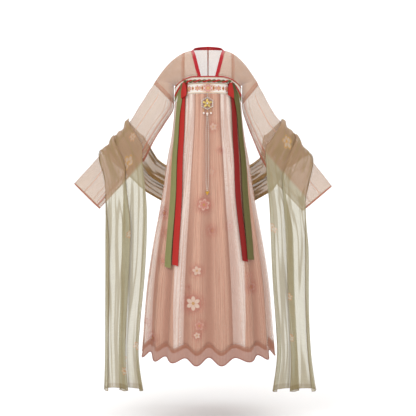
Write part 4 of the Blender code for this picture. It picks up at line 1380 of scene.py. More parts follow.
def pendant_axes():
    """The pendant's centre on the skirt, and the directions across, up the skirt and out."""
    above, below = (skirt_envelope(0, PENDANT_Z + rise, 0) for rise in (0.03, -0.03))
    across = Vector((1, 0, 0))
    up = (above - below).normalized()
    centre = skirt_envelope(0, PENDANT_Z, PENDANT_OUT)
    centre.x = PENDANT_X
    return centre, across, up, across.cross(up).normalized()


def pendant_point(x, up_by, out_by):
    centre, across, up, out = pendant_axes()
    return centre + across * x + up * up_by + out * out_by


def on_front_flute(x, z, out):
    """A point out from the cloth of the flute below the pendant, at this x and height."""
    half_width = skirt_size(z)[0]
    angle = degrees(asin(x / half_width))
    top = band_top(angle) - BAND_HEIGHT - SEAM
    share = (top - z) / (top - HEM_HEIGHT)
    start = CRESTS[-1] - 360
    place = (angle - start) / (CRESTS[0] - start) * COLUMNS_PER_FLUTE
    column = place - COLUMNS_PER_FLUTE
    return skirt_envelope(angle, z, out - skirt_inset(column, share))


def select_only(piece):
    bpy.ops.object.select_all(action="DESELECT")
    piece.select_set(True)
    bpy.context.view_layer.objects.active = piece


def turned_by(angle, axis):
    """An edit that turns a primitive about the middle of its own frame."""
    settings = {"value": radians(angle), "orient_axis": axis, "center_override": (0, 0, 0)}
    return bpy.ops.transform.rotate, settings


def resized(*scale):
    return bpy.ops.transform.resize, {"value": scale}


def moved(*by):
    return bpy.ops.transform.translate, {"value": by}


def model(kind, *edits, **settings):
    """A primitive that is shaped in edit mode by operators with their settings."""
    bpy.ops.object.select_all(action="DESELECT")
    getattr(bpy.ops.mesh, f"primitive_{kind}_add")(**settings)
    if edits:
        bpy.ops.object.mode_set(mode="EDIT")
        bpy.ops.mesh.select_all(action="SELECT")
        for operator, options in edits:
            operator(**options)
        bpy.ops.object.mode_set(mode="OBJECT")
    return bpy.context.object


def ball(radius, segments, ring_count, *edits):
    return model("uv_sphere", *edits, segments=segments, ring_count=ring_count, radius=radius)


def set_down(piece, place, turned=None, scale=(1, 1, 1)):
    """Puts a piece in its place, with the move kept in its mesh."""
    turned = turned.to_4x4() if turned else Matrix()
    piece.data.transform(Matrix.Translation(place) @ turned @ Matrix.Diagonal((*scale, 1)))
    return piece


def copied(piece, place, turned=None, scale=(1, 1, 1)):
    """A copy with its own mesh, put down in its place."""
    return set_down(put_in_scene(piece.name, piece.data.copy()), place, turned, scale)


def joined(name, pieces, material, slot, *nodes):
    """The pieces joined into one, with this material, standing for these nodes."""
    select_only(pieces[0])
    for piece in pieces[1:]:
        piece.select_set(True)
    if len(pieces) > 1:
        bpy.ops.object.join()
    whole = bpy.context.object
    whole.name = name
    whole.data.materials.clear()
    whole.data.materials.append(material)
    bpy.ops.object.shade_smooth_by_angle(angle=radians(40))
    whole.select_set(False)
    return dressed(whole, slot, *nodes)


def put_away(*pieces):
    for piece in pieces:
        bpy.data.objects.remove(piece)


def make_frame(bead, facing, silver, pearl):
    """Two six-sided rings, with pearls and studs in turn along the outer one."""
    half = FRAME_THICK / 2
    rings = []
    for wide, thin in FRAME_RINGS:
        ring = model(
            "torus", turned_by(30, "Z"),
            major_segments=HEXAGON, minor_segments=12, major_radius=wide, minor_radius=thin,
        )
        rings.append(set_down(ring, pendant_point(0, 0, half), facing))
    stud = ball(FRAME_STUD, 8, 6)
    pearls = []
    studs = []
    for place in range(HEXAGON * FRAME_PLACES):
        start = radians(360 / HEXAGON * (place // FRAME_PLACES))
        end = start + radians(360 / HEXAGON)
        share = place % FRAME_PLACES / FRAME_PLACES
        x = FRAME_RADIUS * mix(sin(start), sin(end), share)
        up_by = FRAME_RADIUS * mix(cos(start), cos(end), share)
        if place % 2 == 0:
            pearls.append(copied(bead, pendant_point(x, up_by, half + 1.0 * MM), facing))
        else:
            studs.append(copied(stud, pendant_point(x, up_by, half + 1.3 * MM), facing))
    joined("silver_frame", rings + studs, silver, "silver", "pendant_frame")
    joined("frame_pearls", pearls, pearl, "pearl")
    put_away(stud)


def make_flower(bead, facing, pearl):
    """Five petals with raised veins, round a pearl."""
    half = FRAME_THICK / 2
    petal = ball(PETAL_RADIUS, 20, 12, resized(0.36, 0.72, 0.14), moved(0, PETAL_SHIFT, 0))
    vein = ball(VEIN_RADIUS, 10, 8, resized(0.12, 1.0, 0.12), moved(0, VEIN_SHIFT, 1.5 * MM))
    middle = pendant_point(0, 0, half)
    behind = pendant_point(0, 0, half - 1.0 * MM)
    parts = []
    for leaf in range(FLOWER_PETALS):
        turn = 2 * pi / FLOWER_PETALS
        turned = facing @ Matrix.Rotation(turn * leaf, 3, "Z")
        between = facing @ Matrix.Rotation(turn * (leaf + 0.5), 3, "Z")
        parts.append(copied(petal, middle, turned))
        parts.append(copied(vein, middle, turned))
        parts.append(copied(vein, behind, between, (1.5, 0.8, 1.0)))
    material = metal("pale_gold_metal", "pale_gold", 0.34)
    joined("gold_flower", parts, material, "gold", "pendant_flower")
    heart = copied(bead, pendant_point(0, 0, half + 1.9 * MM), facing, HEART_SCALE)
    joined("flower_heart", [heart], pearl, "pearl")
    put_away(petal, vein)


def make_pendant():
    silver = metal("silver_metal", "silver", 0.32)
    gold = metal("gold_metal", "gold", 0.30)
    pearl = pearl_coat()
    facing = Matrix(pendant_axes()[1:]).transposed()
    bead = ball(FRAME_BEAD, 12, 8)
    make_frame(bead, facing, silver, pearl)
    make_flower(bead, facing, pearl)

    link_bottom = pendant_point(0, FRAME_OUTER + SEAM, FRAME_THICK / 2)
    link_top = band_point(0, BAND_HEIGHT - 3 * MM, BAND_OUTSIDE + 3.0 * MM)
    link_top.x = PENDANT_X
    link = model(
        "torus", major_segments=16, minor_segments=8,
        major_radius=LINK_RADIUS, minor_radius=LINK_WIRE,
    )
    links = []
    for step in range(LINKS):
        place = link_bottom.lerp(link_top, (step + 0.3) / (LINKS - 0.4))
        turned = facing @ Matrix.Rotation(pi / 2 * (step % 2), 3, "Y")
        links.append(copied(link, place, turned, LINK_SCALE))
    joined("chain_links", links, silver, "silver", "pendant_link")

    drop = ball(1.0, 20, 14, turned_by(90, "X"))
    wire = model("cylinder", turned_by(90, "X"), vertices=10, radius=WIRE_RADIUS, depth=1.0)
    cap = model(
        "cone", turned_by(-90, "X"),
        vertices=12, radius1=2.0 * MM, radius2=0.6 * MM, depth=1.8 * MM,
    )
    eye = copied(link, Vector(), None, (0.6, 0.6, 1.0))
    for name, (x, wire_top, low, size) in zip(("left", "middle", "right"), PEARLS):
        tall = (size, size * PEARL_TALL, size)
        hung = copied(drop, pendant_point(x, -low, PEARL_OUT), facing, tall)
        wire_low = low - size
        wire_middle = pendant_point(x, -(wire_low + wire_top) / 2, PEARL_OUT)
        fittings = [
            copied(wire, wire_middle, facing, (1, wire_low - wire_top, 1)),
            copied(cap, pendant_point(x, -(low - size * 1.1), PEARL_OUT), facing),
            copied(eye, pendant_point(x, -wire_top - 1.0 * MM, PEARL_OUT), facing),
        ]
        joined(f"drop_{name}", [hung], pearl, "pearl", f"pendant_pearl_{name}")
        joined(f"drop_{name}_fittings", fittings, gold, "gold")
    put_away(bead, link, drop, wire, cap, eye)


def make_beads():
    """Two rows of studs and small pearls, from the middle pearl to the gold bead."""
    silver = metal("bead_silver", "bead", 0.30)
    pearl = pearl_coat()
    _, _, pearl_low, pearl_size = PEARLS[1]
    top = pendant_point(0, -pearl_low, PEARL_OUT)
    top_z = top.z - pearl_size - SEAM
    on_cloth = BEAD_RADIUS * 1.3 + SEAM * 2
    end_out = END_BEAD_SIZE[1] + SEAM * 2
    bead = ball(BEAD_RADIUS, 8, 6)
    count = round((top_z - BEAD_BOTTOM) / BEAD_STEP)
    for side, sign in SIDES.items():
        studs = []
        pearls = []
        for step, share in enumerate(shares(count)):
            spread = mix(BEAD_RADIUS + SEAM, BEAD_ROW_SPREAD, smooth(share * 5))
            spread = mix(spread, BEAD_RADIUS + SEAM, smooth(share * 8 - 7))
            out = mix(on_cloth, end_out, smooth(share * 12 - 11))
            z = mix(top_z, BEAD_BOTTOM, share)
            point = on_front_flute(PENDANT_X + sign * spread, z, out)
            point.y = mix(top.y, point.y, smooth(share * 12))
            if step % 3 == 1:
                pearls.append(copied(bead, point, None, BEAD_PEARL_SCALE))
            else:
                studs.append(copied(bead, point, None, BEAD_STUD_SCALE))
        joined(f"beads_{side}", studs, silver, "silver", f"bead_row_{side}")
        joined(f"bead_pearls_{side}", pearls, pearl, "pearl")
    put_away(bead)
    make_end_bead(end_out)


def make_end_bead(out):
    """A gold heart: two round lobes over a cone's tip, fused and smoothed."""
    parts = []
    for sign in SIDES.values():
        shift = moved(sign * LOBE_SHIFT[0], 0, LOBE_SHIFT[1])
        parts.append(ball(END_BEAD_SIZE[0], 20, 14, resized(0.56, 0.5, 0.50), shift))
    parts.append(model(
        "cone", turned_by(180, "X"), resized(1, 0.52, 1), moved(0, 0, TIP_SHIFT),
        vertices=24, radius1=7.4 * MM, radius2=1.0 * MM, depth=10.6 * MM,
    ))
    heart = joined("gold_heart", parts, metal("end_gold", "gold", 0.28), "gold", "end_bead")
    select_only(heart)
    for kind, settings in (
        ("REMESH", {"mode": "VOXEL", "voxel_size": HEART_VOXEL}),
        ("SMOOTH", {"iterations": 8}),
    ):
        bpy.ops.object.modifier_add(type=kind)
        modifier = heart.modifiers[-1]
        for name, value in settings.items():
            setattr(modifier, name, value)
        bpy.ops.object.modifier_apply(modifier=modifier.name)
    bpy.ops.object.shade_smooth()
    heart.select_set(False)
    set_down(heart, on_front_flute(PENDANT_X, BEAD_BOTTOM - END_BEAD_SIZE[2] - SEAM, out))


# Pibo.


def fold_phase(share):
    """The angle of the shawl's lengthwise folds at this share of its width."""
    return 2 * pi * PIBO_FOLDS * share - pi


def folded_share(share, overlap):
    """Where a point of the cloth's width lies across the folded shawl: it runs back on itself
    between the folds, as a sheared wave does, and the outermost folds are at 0 and 1."""
    steepness = 2 * pi * PIBO_FOLDS
    reach = 0
    if overlap * steepness > 1:
        turn = acos(1 / (overlap * steepness))
        reach = overlap * sin(turn) - turn / steepness
    return (share + overlap * sin(fold_phase(share)) + reach) / (1 + 2 * reach)


def gathered_share(share, overlap, seed):
    """The folded share with small loose gathers that come and go along the cloth."""
    few, many = PIBO_GATHERS
    gathers = sin(few * share + 4 * chance(seed)) + 0.8 * sin(many * share + 4 * chance(seed + 9))
    held = sin(pi * clamp(share)) ** 0.5
    return clamp(folded_share(share, overlap) + PIBO_GATHER_SHIFT * gathers * held)


def arm_row(side, angle):
    outer_station, inner_station = look_up(PIBO_ARMS[side], angle)
    over_arm = max(0.0, cos(radians(angle))) ** 3
    row = []
    for share in shares(PIBO_COLUMNS):
        gathered = gathered_share(share, PIBO_ARM_OVERLAP, angle // 40)
        station = mix(outer_station, inner_station, gathered)
        lift = PIBO_ARM_FOLD * (1 + sin(fold_phase(share))) + PIBO_CLEAR + PIBO_WALL / 2
        bunch = (1 + sin(PIBO_BUNCHES * share + 1.5)) / 2
        lift += ruqun_sizes().bunch_depth * over_arm * bunch
        row.append(sleeve_point(side, station, angle, lift))
    return row


def fall_grid(side):
    """The shawl's hanging end: it leaves the sleeve and settles in folds."""
    top = arm_row(side, PIBO_ARM_ANGLES[-1])
    rows = []
    for number, part in enumerate(PIBO_FALL_ROWS):
        row = []
        for start, share in zip(top, shares(PIBO_COLUMNS)):
            phase = fold_phase(share)
            z = mix(start.z, PIBO_BOTTOM[side] + PIBO_HEM_WAVE * cos(phase), part)
            outer_x, inner_x = look_up(PIBO_FALLS[side], z)
            x = mix(outer_x, inner_x, gathered_share(share, PIBO_FALL_OVERLAP, number // 2))
            hung = Vector((SIDES[side] * x, PIBO_FALL_Y - PIBO_FALL_FOLD * sin(phase), z))
            row.append(Vector((start.x, start.y, z)).lerp(hung, smooth(part * 3.2)))
        rows.append(row)
    return rows


def back_row(sign, low_x, low_y, low_z, high_x, high_y, high_z):
    """A row of the shawl behind the skirt, from its lower edge to its upper one."""
    low = Vector((sign * low_x, low_y, low_z))
    high = Vector((sign * high_x, high_y, high_z))
    away = Vector(((low + high).x, (low + high).y * 1.4, 0)).normalized()
    row = []
    for share in shares(PIBO_COLUMNS):
        across = low.lerp(high, gathered_share(share, PIBO_BACK_OVERLAP, round(low_x * 8)))
        row.append(across + away * PIBO_BACK_FOLD * (1 + sin(fold_phase(share))))
    return row


def make_pibo():
    """One long cloth: a hanging end, an arm, the back, the other arm and the other end."""
    halves = []
    for side, sign in SIDES.items():
        half = [back_row(sign, *row) for row in PIBO_BACK][::-1]
        half += [arm_row(side, angle) for angle in PIBO_ARM_ANGLES]
        halves.append(half + fall_grid(side))
    left, right = halves
    grid = refined(left[::-1] + [back_row(1, *PIBO_CENTRE)] + right, 5, 1)
    depth = ruqun_sizes().shawl_ripple
    length = len(grid) - 1

    def ripple(row, column):
        share = column / PIBO_COLUMNS
        place = row / length * PIBO_RIPPLE_LENGTHS
        many, few = PIBO_RIPPLES
        first = cos(share * many + 2.5 * drift(place / 7, 1))
        second = cos(share * few + 3 * drift(place / 9, 2))
        return depth * (2 + first + second) / 4

    grid = moved_out(grid, ripple)
    cutting = Cutting().sheet(grid)
    for edge in ([row[0] for row in grid], [row[-1] for row in grid], grid[0], grid[-1]):
        cutting.rope(edge, PIBO_EDGE, mark=PIBO_MARK)
    nodes = [f"pibo_{part}_{side}" for part in ("fall", "arm") for side in SIDES]
    shawl = cutting.made("pibo", shawl_gauze(), "pibo_gauze", "pibo_back", *nodes)


# Materials of the dress.


def stamps(recipe, colour, cover, across, down):
    """Printed blossoms over a cloth, soft as if painted: the new colour and cover."""
    for x, z, size, turn, petals, ink, strength in BLOSSOMS:
        flower = recipe.blossom(across - x, down - z, size, turn, petals)
        for shade, mask, share in (
            ("ink_halo", flower.halo, 0.75),
            (ink, flower.petal, 0.80),
            ("ink_cream", flower.rim, 0.55),
            ("ink_red", flower.veins, 0.55),
            ("ink_gold", flower.heart, 0.8),
        ):
            colour = recipe.tint(colour, shade, mask * (share * strength))
        cover = cover.most(flower.petal * (0.62 * strength), flower.halo * (0.66 * strength))
    return colour, cover


def across_flutes(column, high):
    """0 in the flutes' valleys and 1 towards their crests."""
    return (column * (2 * pi / COLUMNS_PER_FLUTE)).math("COSINE").ramp(-1.0, high)


def threads(recipe, fine=1.0):
    """Uneven threads along and across the cloth, from 0 to 1."""
    u, v, _ = recipe.parts(recipe.coordinates("cloth"))
    many = THREADS * fine
    few = THREAD_BREAKS * fine
    along = recipe.noise(recipe.joined(u * many, v * few), 1.0)
    across = recipe.noise(recipe.joined(u * few, v * many), 1.0, 1.0)
    return (along + across) * 0.5


def tinted(recipe, colour, cloth, amount):
    """The cloth's colour, a little darker and lighter with its threads."""
    return recipe.tint(shade_of(colour, 1 - amount), colour, cloth.ramp(0.25, 0.62))


def sheer(cloth, cover):
    """How much a sheer cloth hides, more at its threads than between them."""
    return cloth * 0.10 + (cover - 0.05)


def shan_gauze():
    recipe = Recipe("shan_cloth", "shan", 0.7)
    x, y, z = recipe.parts(recipe.coordinates())
    cloth = threads(recipe)
    across = abs(x)
    above_band = z.ramp(*SHAN_ABOVE_BAND)
    strip = across.near(SHAN_STRIP_X, *SHAN_STRIP_WIDTH) * above_band
    back = across.near(*SHAN_BACK_SEAM) * y.ramp(0.0, 0.01)
    edges = [SHAN_STRIP_X + side * SHAN_STRIP_LINE for side in (-1, 1)]
    inner, outer = (across.near(edge, *SEAM_LINE) for edge in edges)
    lines = inner.most(outer) * above_band
    seams = (strip * 0.30).most(back * 0.8, lines * 0.7)
    colour = recipe.tint(tinted(recipe, "shan", cloth, 0.16), "seam", seams)
    # The back half hides less and so shows lighter: painted light where its inside lies in shade.
    behind = y.ramp(-0.005, 0.005) * (1 - across.ramp(*SHAN_BACK_END))
    cover = sheer(cloth, ruqun_sizes().shan_cover) * (1 - behind * 0.22)
    return recipe.done(colour, cover.most(strip * 0.72, back * 0.85, lines * 0.85), cloth)


def sleeve_gauze(side):
    """Sheer cloth with two seams past the armhole, seams along it and a narrow hem at the cuff."""
    recipe = Recipe(f"sleeve_cloth_{side}", "sleeve", 0.7)
    x, _, z = recipe.parts(recipe.coordinates())
    share, along, _ = recipe.parts(recipe.coordinates("place"))
    cloth = threads(recipe)
    top_x, top_z = SLEEVES[side][0][:2]
    low_x, low_z = ARMHOLE_LOW
    length = sqrt((top_x - low_x) ** 2 + (top_z - low_z) ** 2)
    out_x = (top_z - low_z) / length
    out_z = (low_x - top_x) / length
    past = (abs(x) - top_x) * out_x + (z - top_z) * out_z
    first, second = (past.near(*line) for line in ARMHOLE_SEAMS)
    lines = first.most(second)
    strip = past.near(*ARMHOLE_STRIP)
    low = share.near(*UNDER_SEAM).most(abs(share - 0.5).near(0.112, 0.007, 0.006) * 0.9)
    fold = low.most(abs(share - 0.5).ramp(0.468, 0.482) * 0.6) * along.ramp(0.10, 0.16)
    cuff = along.ramp(*CUFF_HEM)
    wander = (recipe.noise(recipe.joined(along * 2.5, 0.0), 1.0) - 0.5) * 0.10
    folds = (share + wander).near(0.20, 0.002, 0.010).most(
        (share - wander).near(0.37, 0.002, 0.012), (share + wander).near(0.70, 0.002, 0.010)
    )
    folds = folds * along.ramp(0.10, 0.25)
    above = 1 - past.ramp(0.0, 0.012)
    colour = recipe.tint(tinted(recipe, "sleeve", cloth, 0.16), "shan", above * 0.85)
    colour = recipe.tint(colour, "seam", folds * 0.30)
    edges = (lines * 0.9).most(fold * 0.85, cuff * 0.9)
    colour = recipe.tint(colour, "seam", edges.most(strip * 0.35))
    cover = sheer(cloth, ruqun_sizes().sleeve_cover) + folds * 0.12
    cover = cover.most(above * ruqun_sizes().shan_cover, edges, strip * 0.72)
    return recipe.done(colour, cover, cloth)


def skirt_gauze():
    """Sheer cloth with painted shade in its folds, gathers and creases, printed blossoms and a veil
    below the lining.
    """
    recipe = Recipe("skirt_cloth", "skirt", 0.6)
    x, y, z = recipe.parts(recipe.coordinates())
    column, share, _ = recipe.parts(recipe.coordinates("place"))
    cloth = threads(recipe)
    valley = (1 - across_flutes(column, 0.6)) * share.ramp(0.15, 0.6)
    gather = (column * pi).math("COSINE").ramp(-1.0, 0.4)
    gather = (1 - gather) * (1 - share.ramp(0.03, 0.40))
    wander = recipe.noise(recipe.joined(column * 1.7, share * 0.9), 1.0, 3.0)
    creases = wander.near(0.47, 0.006, 0.035).most(wander.near(0.57, 0.006, 0.030) * 0.8)
    # Painted shade: darker in the flutes' valleys, in the gathers at the band and along wandering
    # creases; the cover also rises there, where the cloth lies in layers.
    shade = valley.most(gather, creases * share.ramp(0.02, 0.12))
    colour = recipe.tint(tinted(recipe, "skirt", cloth, 0.14), "skirt_fold", shade * 0.52)
    cover = cloth * 0.12 + (ruqun_sizes().skirt_cover - 0.06) + shade * 0.20
    behind = y.ramp(-0.02, 0.0)
    colour, cover = stamps(recipe, colour, cover, x + behind * OUT_OF_PRINT, z)
    dx, dy, chosen = recipe.scatter(recipe.coordinates("cloth"), **LOOSE_BLOSSOMS)
    flower = recipe.blossom(dx, dy, LOOSE_BLOSSOM_SIZE, 0.4)
    loose = chosen * y.ramp(0.0, 0.02)
    colour = recipe.tint(colour, "ink_cream", flower.petal * loose * 0.8)
    colour = recipe.tint(colour, "ink_red", flower.veins.most(flower.heart) * loose * 0.5)
    below = share.ramp(*HEM_VEIL_START)
    colour = recipe.tint(colour, "hem_veil", below * 0.85)
    hem = share.ramp(*ON_HEM)
    colour = recipe.tint(colour, "hem", hem)
    cover = cover.most(flower.petal * loose * 0.6, below * 0.90, hem * 0.95)
    return recipe.done(colour, cover, cloth)


def lining_cloth():
    """Pink cloth with cream stripes, with painted shade in its valleys and deep folds, darker
    towards the hem, and darker at two of its seams.
    """
    recipe = Recipe("lining_cloth", "lining_pink", 0.7)
    column, share, _ = recipe.parts(recipe.coordinates("place"))
    cloth = threads(recipe, 0.7)
    stripes = []
    for top_start, top_end, hem_start, hem_end in CREAM_STRIPES:
        wider = (hem_end - hem_start - top_end + top_start) / 2
        further = (hem_end + hem_start - top_end - top_start) / 2
        half = share * wider + (top_end - top_start) / 2
        middle = share * further + (top_end + top_start) / 2
        stripes.append((half - abs(column - middle)).ramp(-0.03, 0.03))
    cream = stripes[0].most(*stripes[1:])
    streaks = recipe.noise(recipe.joined(column * 0.9, share * 0.5), 1.0, 2.0)
    # Painted shade: a deep fold under the pendant, wandering streaks, the flutes' valleys, and
    # darker towards the hem.
    deep = column.near(61.6, 0.6, 1.2) * (1 - share.ramp(0.6, 1.0))
    deep = deep.most(streaks.ramp(0.52, 0.72) * 0.8)
    valley = (1 - across_flutes(column, 0.6)) * share.ramp(0.2, 0.7)
    shade = (deep * 0.50).most(valley * 0.55, share.ramp(0.40, 1.0) * 0.28)
    colour = recipe.tint("lining_pink", "lining_cream", cream)
    colour = recipe.tint(colour, "lining_fold", shade * (1 - cream * 0.75))
    # Two seams, drawn as darker lines in the same colour as the painted shade.
    for top, hem, strength in LINING_SEAMS:
        away = abs(column - (share * (hem - top) + top)) * (share + 1)
        line = away.near(0.0, 0.20, 0.14) * (1 - share * 0.5)
        colour = recipe.tint(colour, "lining_fold", line * strength)
    grain = recipe.tint((0.86, 0.84, 0.82), (1.0, 1.0, 1.0), cloth.ramp(0.3, 0.6))
    return recipe.done(recipe.tint(colour, grain, 1.0, "MULTIPLY"), None, cloth, LINING_RISE)


def satin(name, colour, gathered=0.0):
    """A satin ribbon, with painted shade near its start where it is gathered."""
    recipe = Recipe(name, colour, 0.42, Specular_IOR_Level=0.2)
    cloth = threads(recipe, 0.8)
    across, along, _ = recipe.parts(recipe.coordinates("place"))
    streaks = recipe.noise(recipe.joined(across * 7, along * 2.5), 1.0, 3.0)
    dark = shade_of(colour, 0.45)
    tone = recipe.tint(tinted(recipe, colour, cloth, 0.18), dark, streaks.ramp(0.50, 0.80) * 0.45)
    # Painted shade where the ribbon is gathered at its start.
    if gathered:
        tone = recipe.tint(tone, dark, (1 - along.ramp(0.06, 0.22)) * gathered)
    recipe.put("Roughness", cloth * 0.25 + 0.32)
    return recipe.done(tone, None, cloth, SATIN_RISE)


def band_satin():
    """White satin with a small woven lozenge."""
    recipe = Recipe("band_satin", "band", 0.5)
    u, v, _ = recipe.parts(recipe.coordinates("cloth"))
    cloth = threads(recipe, 0.8)
    lozenge = ((u * LOZENGE_WAVES).sin() * (v * LOZENGE_WAVES).sin()).ramp(0.15, 0.45)
    colour = recipe.tint(tinted(recipe, "band", cloth, 0.08), "band_shade", lozenge * 0.25)
    recipe.put("Roughness", lozenge * 0.2 + 0.42)
    return recipe.done(colour, None, cloth, SATIN_RISE)


def embroidery():
    """A flower in the middle, smaller ones beside it, and lozenges between two gold edges."""
    recipe = Recipe("embroidery_cloth", "band", 0.6)
    u, v, _ = recipe.parts(recipe.coordinates("place"))
    x = (u - 0.5) * PANEL_WIDTH
    z = (v - 0.5) * (PANEL_EDGES[1] - PANEL_EDGES[0])
    colour = tinted(recipe, "band", threads(recipe, 1.2), 0.10)
    worked = []
    for place, size, petals in PANEL_FLOWERS:
        dx = x - place
        outer = recipe.blossom(dx, z, size, 0.0, petals)
        rim = outer.petal * (1 - recipe.blossom(dx, z, size * 0.84, 0.0, petals).petal)
        inner = recipe.blossom(dx, z, size * 0.48, 0.6, petals)
        colour = recipe.tint(colour, "ink_pink", outer.petal * 0.9)
        colour = recipe.tint(colour, "ink_red", rim.most(outer.veins) * 0.75)
        colour = recipe.tint(colour, "gold_thread", inner.petal * 0.9)
        colour = recipe.tint(colour, "ink_cream", inner.veins.most(inner.heart) * 0.8)
        worked.append(outer.petal)
    wide, high = STONE_REACH
    for place in PANEL_STONES:
        shape = abs(x - place) / wide + abs(z) / high
        stone = 1 - shape.ramp(0.92, 1.0)
        colour = recipe.tint(colour, "gold_thread", stone)
        colour = recipe.tint(colour, "ink_red", 1 - shape.ramp(0.58, 0.68))
        worked.append(stone)
    work = worked[0].most(*worked[1:])
    wide, high = LOZENGE_REACH
    diamond = abs(x) / wide + abs(z) / high
    for reach, ink in LOZENGES:
        colour = recipe.tint(colour, ink, diamond.near(reach, 0.045, 0.020) * (1 - work) * 0.95)
    edge = abs(z).near(*PANEL_LONG_EDGE).most(abs(x).near(*PANEL_SHORT_EDGE))
    colour = recipe.tint(colour, "gold_thread", edge)
    stitch = recipe.noise(recipe.joined(x * 900, z * 2600), 1.0)
    return recipe.done(colour, None, work.most(edge) * (stitch * 0.5 + 0.5), STITCH_RISE)


def metal(name, colour, roughness):
    recipe = Recipe(name, colour, roughness, Metallic=1.0)
    wear = recipe.noise(recipe.coordinates(), 320.0, 3.0)
    recipe.put("Roughness", wear * 0.25 + (roughness - 0.12))
    return recipe.done(recipe.tint(shade_of(colour, 0.62), colour, wear.ramp(0.30, 0.62)))


def pearl_coat():
    recipe = Recipe("pearl_coat", "pearl", 0.22, Coat_Weight=0.6, Coat_Roughness=0.1)
    lustre = recipe.noise(recipe.coordinates(), 260.0, 2.0)
    return recipe.done(recipe.tint("pearl", "pearl_blush", lustre.ramp(0.42, 0.66)))


def shawl_gauze():
    """Sheer cloth, browner where it gathers on the arms and hangs behind, with loose flowers;
    behind, the brown is partly painted shade over layered folds.
    """
    recipe = Recipe("shawl_cloth", "shawl", 0.65)
    across, along, _ = recipe.parts(recipe.coordinates("place"))
    x, y, z = recipe.parts(recipe.coordinates())
    cloth = threads(recipe)
    folds = recipe.noise(recipe.joined(across * 15, along * 9), 1.0, 1.0).near(0.50, 0.018, 0.050)
    over = z - ARM_LINE_Z + (abs(x) - ARM_LINE_X) * ARM_LINE_SLOPE
    arm = over.ramp(-0.012, 0.012) * abs(x).ramp(0.22, 0.26)
    # Behind the skirt the shawl is browner and hides more: layered folds, and painted shade.
    behind = y.ramp(0.05, 0.09)
    colour = tinted(recipe, "shawl", cloth, 0.16)
    colour = recipe.tint(colour, "shawl_arm", arm * 0.85)
    colour = recipe.tint(colour, "shawl_behind", behind * 0.85)
    colour = recipe.tint(colour, "shawl_edge", folds * 0.50)
    cover = sheer(cloth, ruqun_sizes().shawl_cover) + folds * 0.18 + arm * 0.02 + behind * 0.14
    for cells, size, petals, turn, ink in SHAWL_FLOWERS:
        place = recipe.coordinates("cloth")
        dx, dy, chosen = recipe.scatter(place, cells, SHAWL_FLOWERS_LEAST)
        flower = recipe.blossom(dx, dy, size, turn, petals)
        mask = chosen * 0.80
        petal = flower.petal * mask
        drawn = flower.rim.most(flower.veins, flower.heart) * mask
        colour = recipe.tint(colour, "ink_cream", petal * 0.4)
        colour = recipe.tint(colour, ink, drawn)
        cover = cover.most(petal * 0.70, drawn * 0.85)
    edge = across.ramp(*ON_HEM)
    hem = abs(across - 0.5).ramp(*SHAWL_SIDE_HEM).most(abs(along - 0.5).ramp(*SHAWL_END_HEM))
    colour = recipe.tint(colour, "shawl_edge", edge.most(hem * 0.6))
    return recipe.done(colour, cover.most(edge * 0.8, hem * 0.45), cloth)


# The stage.


def make_backdrop():
    """Pale paper that lies under the dress and bends up behind it."""
    bend_z = FLOOR_Z + BACKDROP_RADIUS
    wall_y = BACKDROP_BEND + BACKDROP_RADIUS
    profile = [(mix(BACKDROP_FRONT, BACKDROP_BEND, share), FLOOR_Z) for share in shares(15)]
    for share in shares(16)[1:]:
        turn = share * pi / 2
        bent_y = BACKDROP_BEND + BACKDROP_RADIUS * sin(turn)
        profile.append((bent_y, bend_z - BACKDROP_RADIUS * cos(turn)))
    profile += [(wall_y, bend_z + BACKDROP_STEP * step) for step in range(1, 10)]
    grid = [[Vector((x, y, z)) for x in BACKDROP_X] for y, z in profile]
    recipe = Recipe("paper", (0.95, 0.95, 0.95), 0.9)
    grain = recipe.noise(recipe.coordinates(), 3.0)
    paper = recipe.done(recipe.tint((0.94, 0.94, 0.94), (0.97, 0.97, 0.97), grain))
    Cutting().sheet(grid).piece("backdrop", paper)


def make_stage():
    make_backdrop()
    for name, place, target, size, energy in LIGHTS:
        bpy.ops.object.light_add(type="AREA", location=place)
        light = bpy.context.object
        light.name = name
        light.data.size = size
        light.data.energy = energy
        aim = Vector(target) - Vector(place)
        light.rotation_euler = aim.to_track_quat("-Z", "Y").to_euler()

    world = bpy.data.worlds.new("room")
    world.use_nodes = True
    background = world.node_tree.nodes["Background"].inputs
    background["Color"].default_value = ROOM_COLOUR
    background["Strength"].default_value = ROOM_STRENGTH
    scene = bpy.context.scene
    scene.world = world

    bpy.ops.object.camera_add(location=CAMERA_PLACE, rotation=(radians(90), 0, 0))
    scene.camera = bpy.context.object
    scene.camera.data.lens = CAMERA_LENS
    scene.camera.data.sensor_width = 36.0
    scene.view_settings.view_transform = "Standard"
    bpy.ops.object.select_all(action="DESELECT")


# Settings and operators.


def linear(code):
    """A web colour as the linear values that a material takes."""
    found = []
    for start in (0, 2, 4):
        value = int(code[start : start + 2], 16) / 255
        found.append(value / 12.92 if value <= 0.04045 else ((value + 0.055) / 1.055) ** 2.4)
    return tuple(found)


def colour_of(name, description, code):
    return bpy.props.FloatVectorProperty(
        name=name, description=description, subtype="COLOR", size=3, min=0, max=1,
        default=linear(code),
    )


def length_of(name, description, default, high=0.02):
    return bpy.props.FloatProperty(
        name=name, description=description, unit="LENGTH", min=0, max=high, default=default,
        precision=5,
    )


def share_of(name, description, default):
    return bpy.props.FloatProperty(
        name=name, description=description, subtype="FACTOR", min=0, max=1, default=default
    )


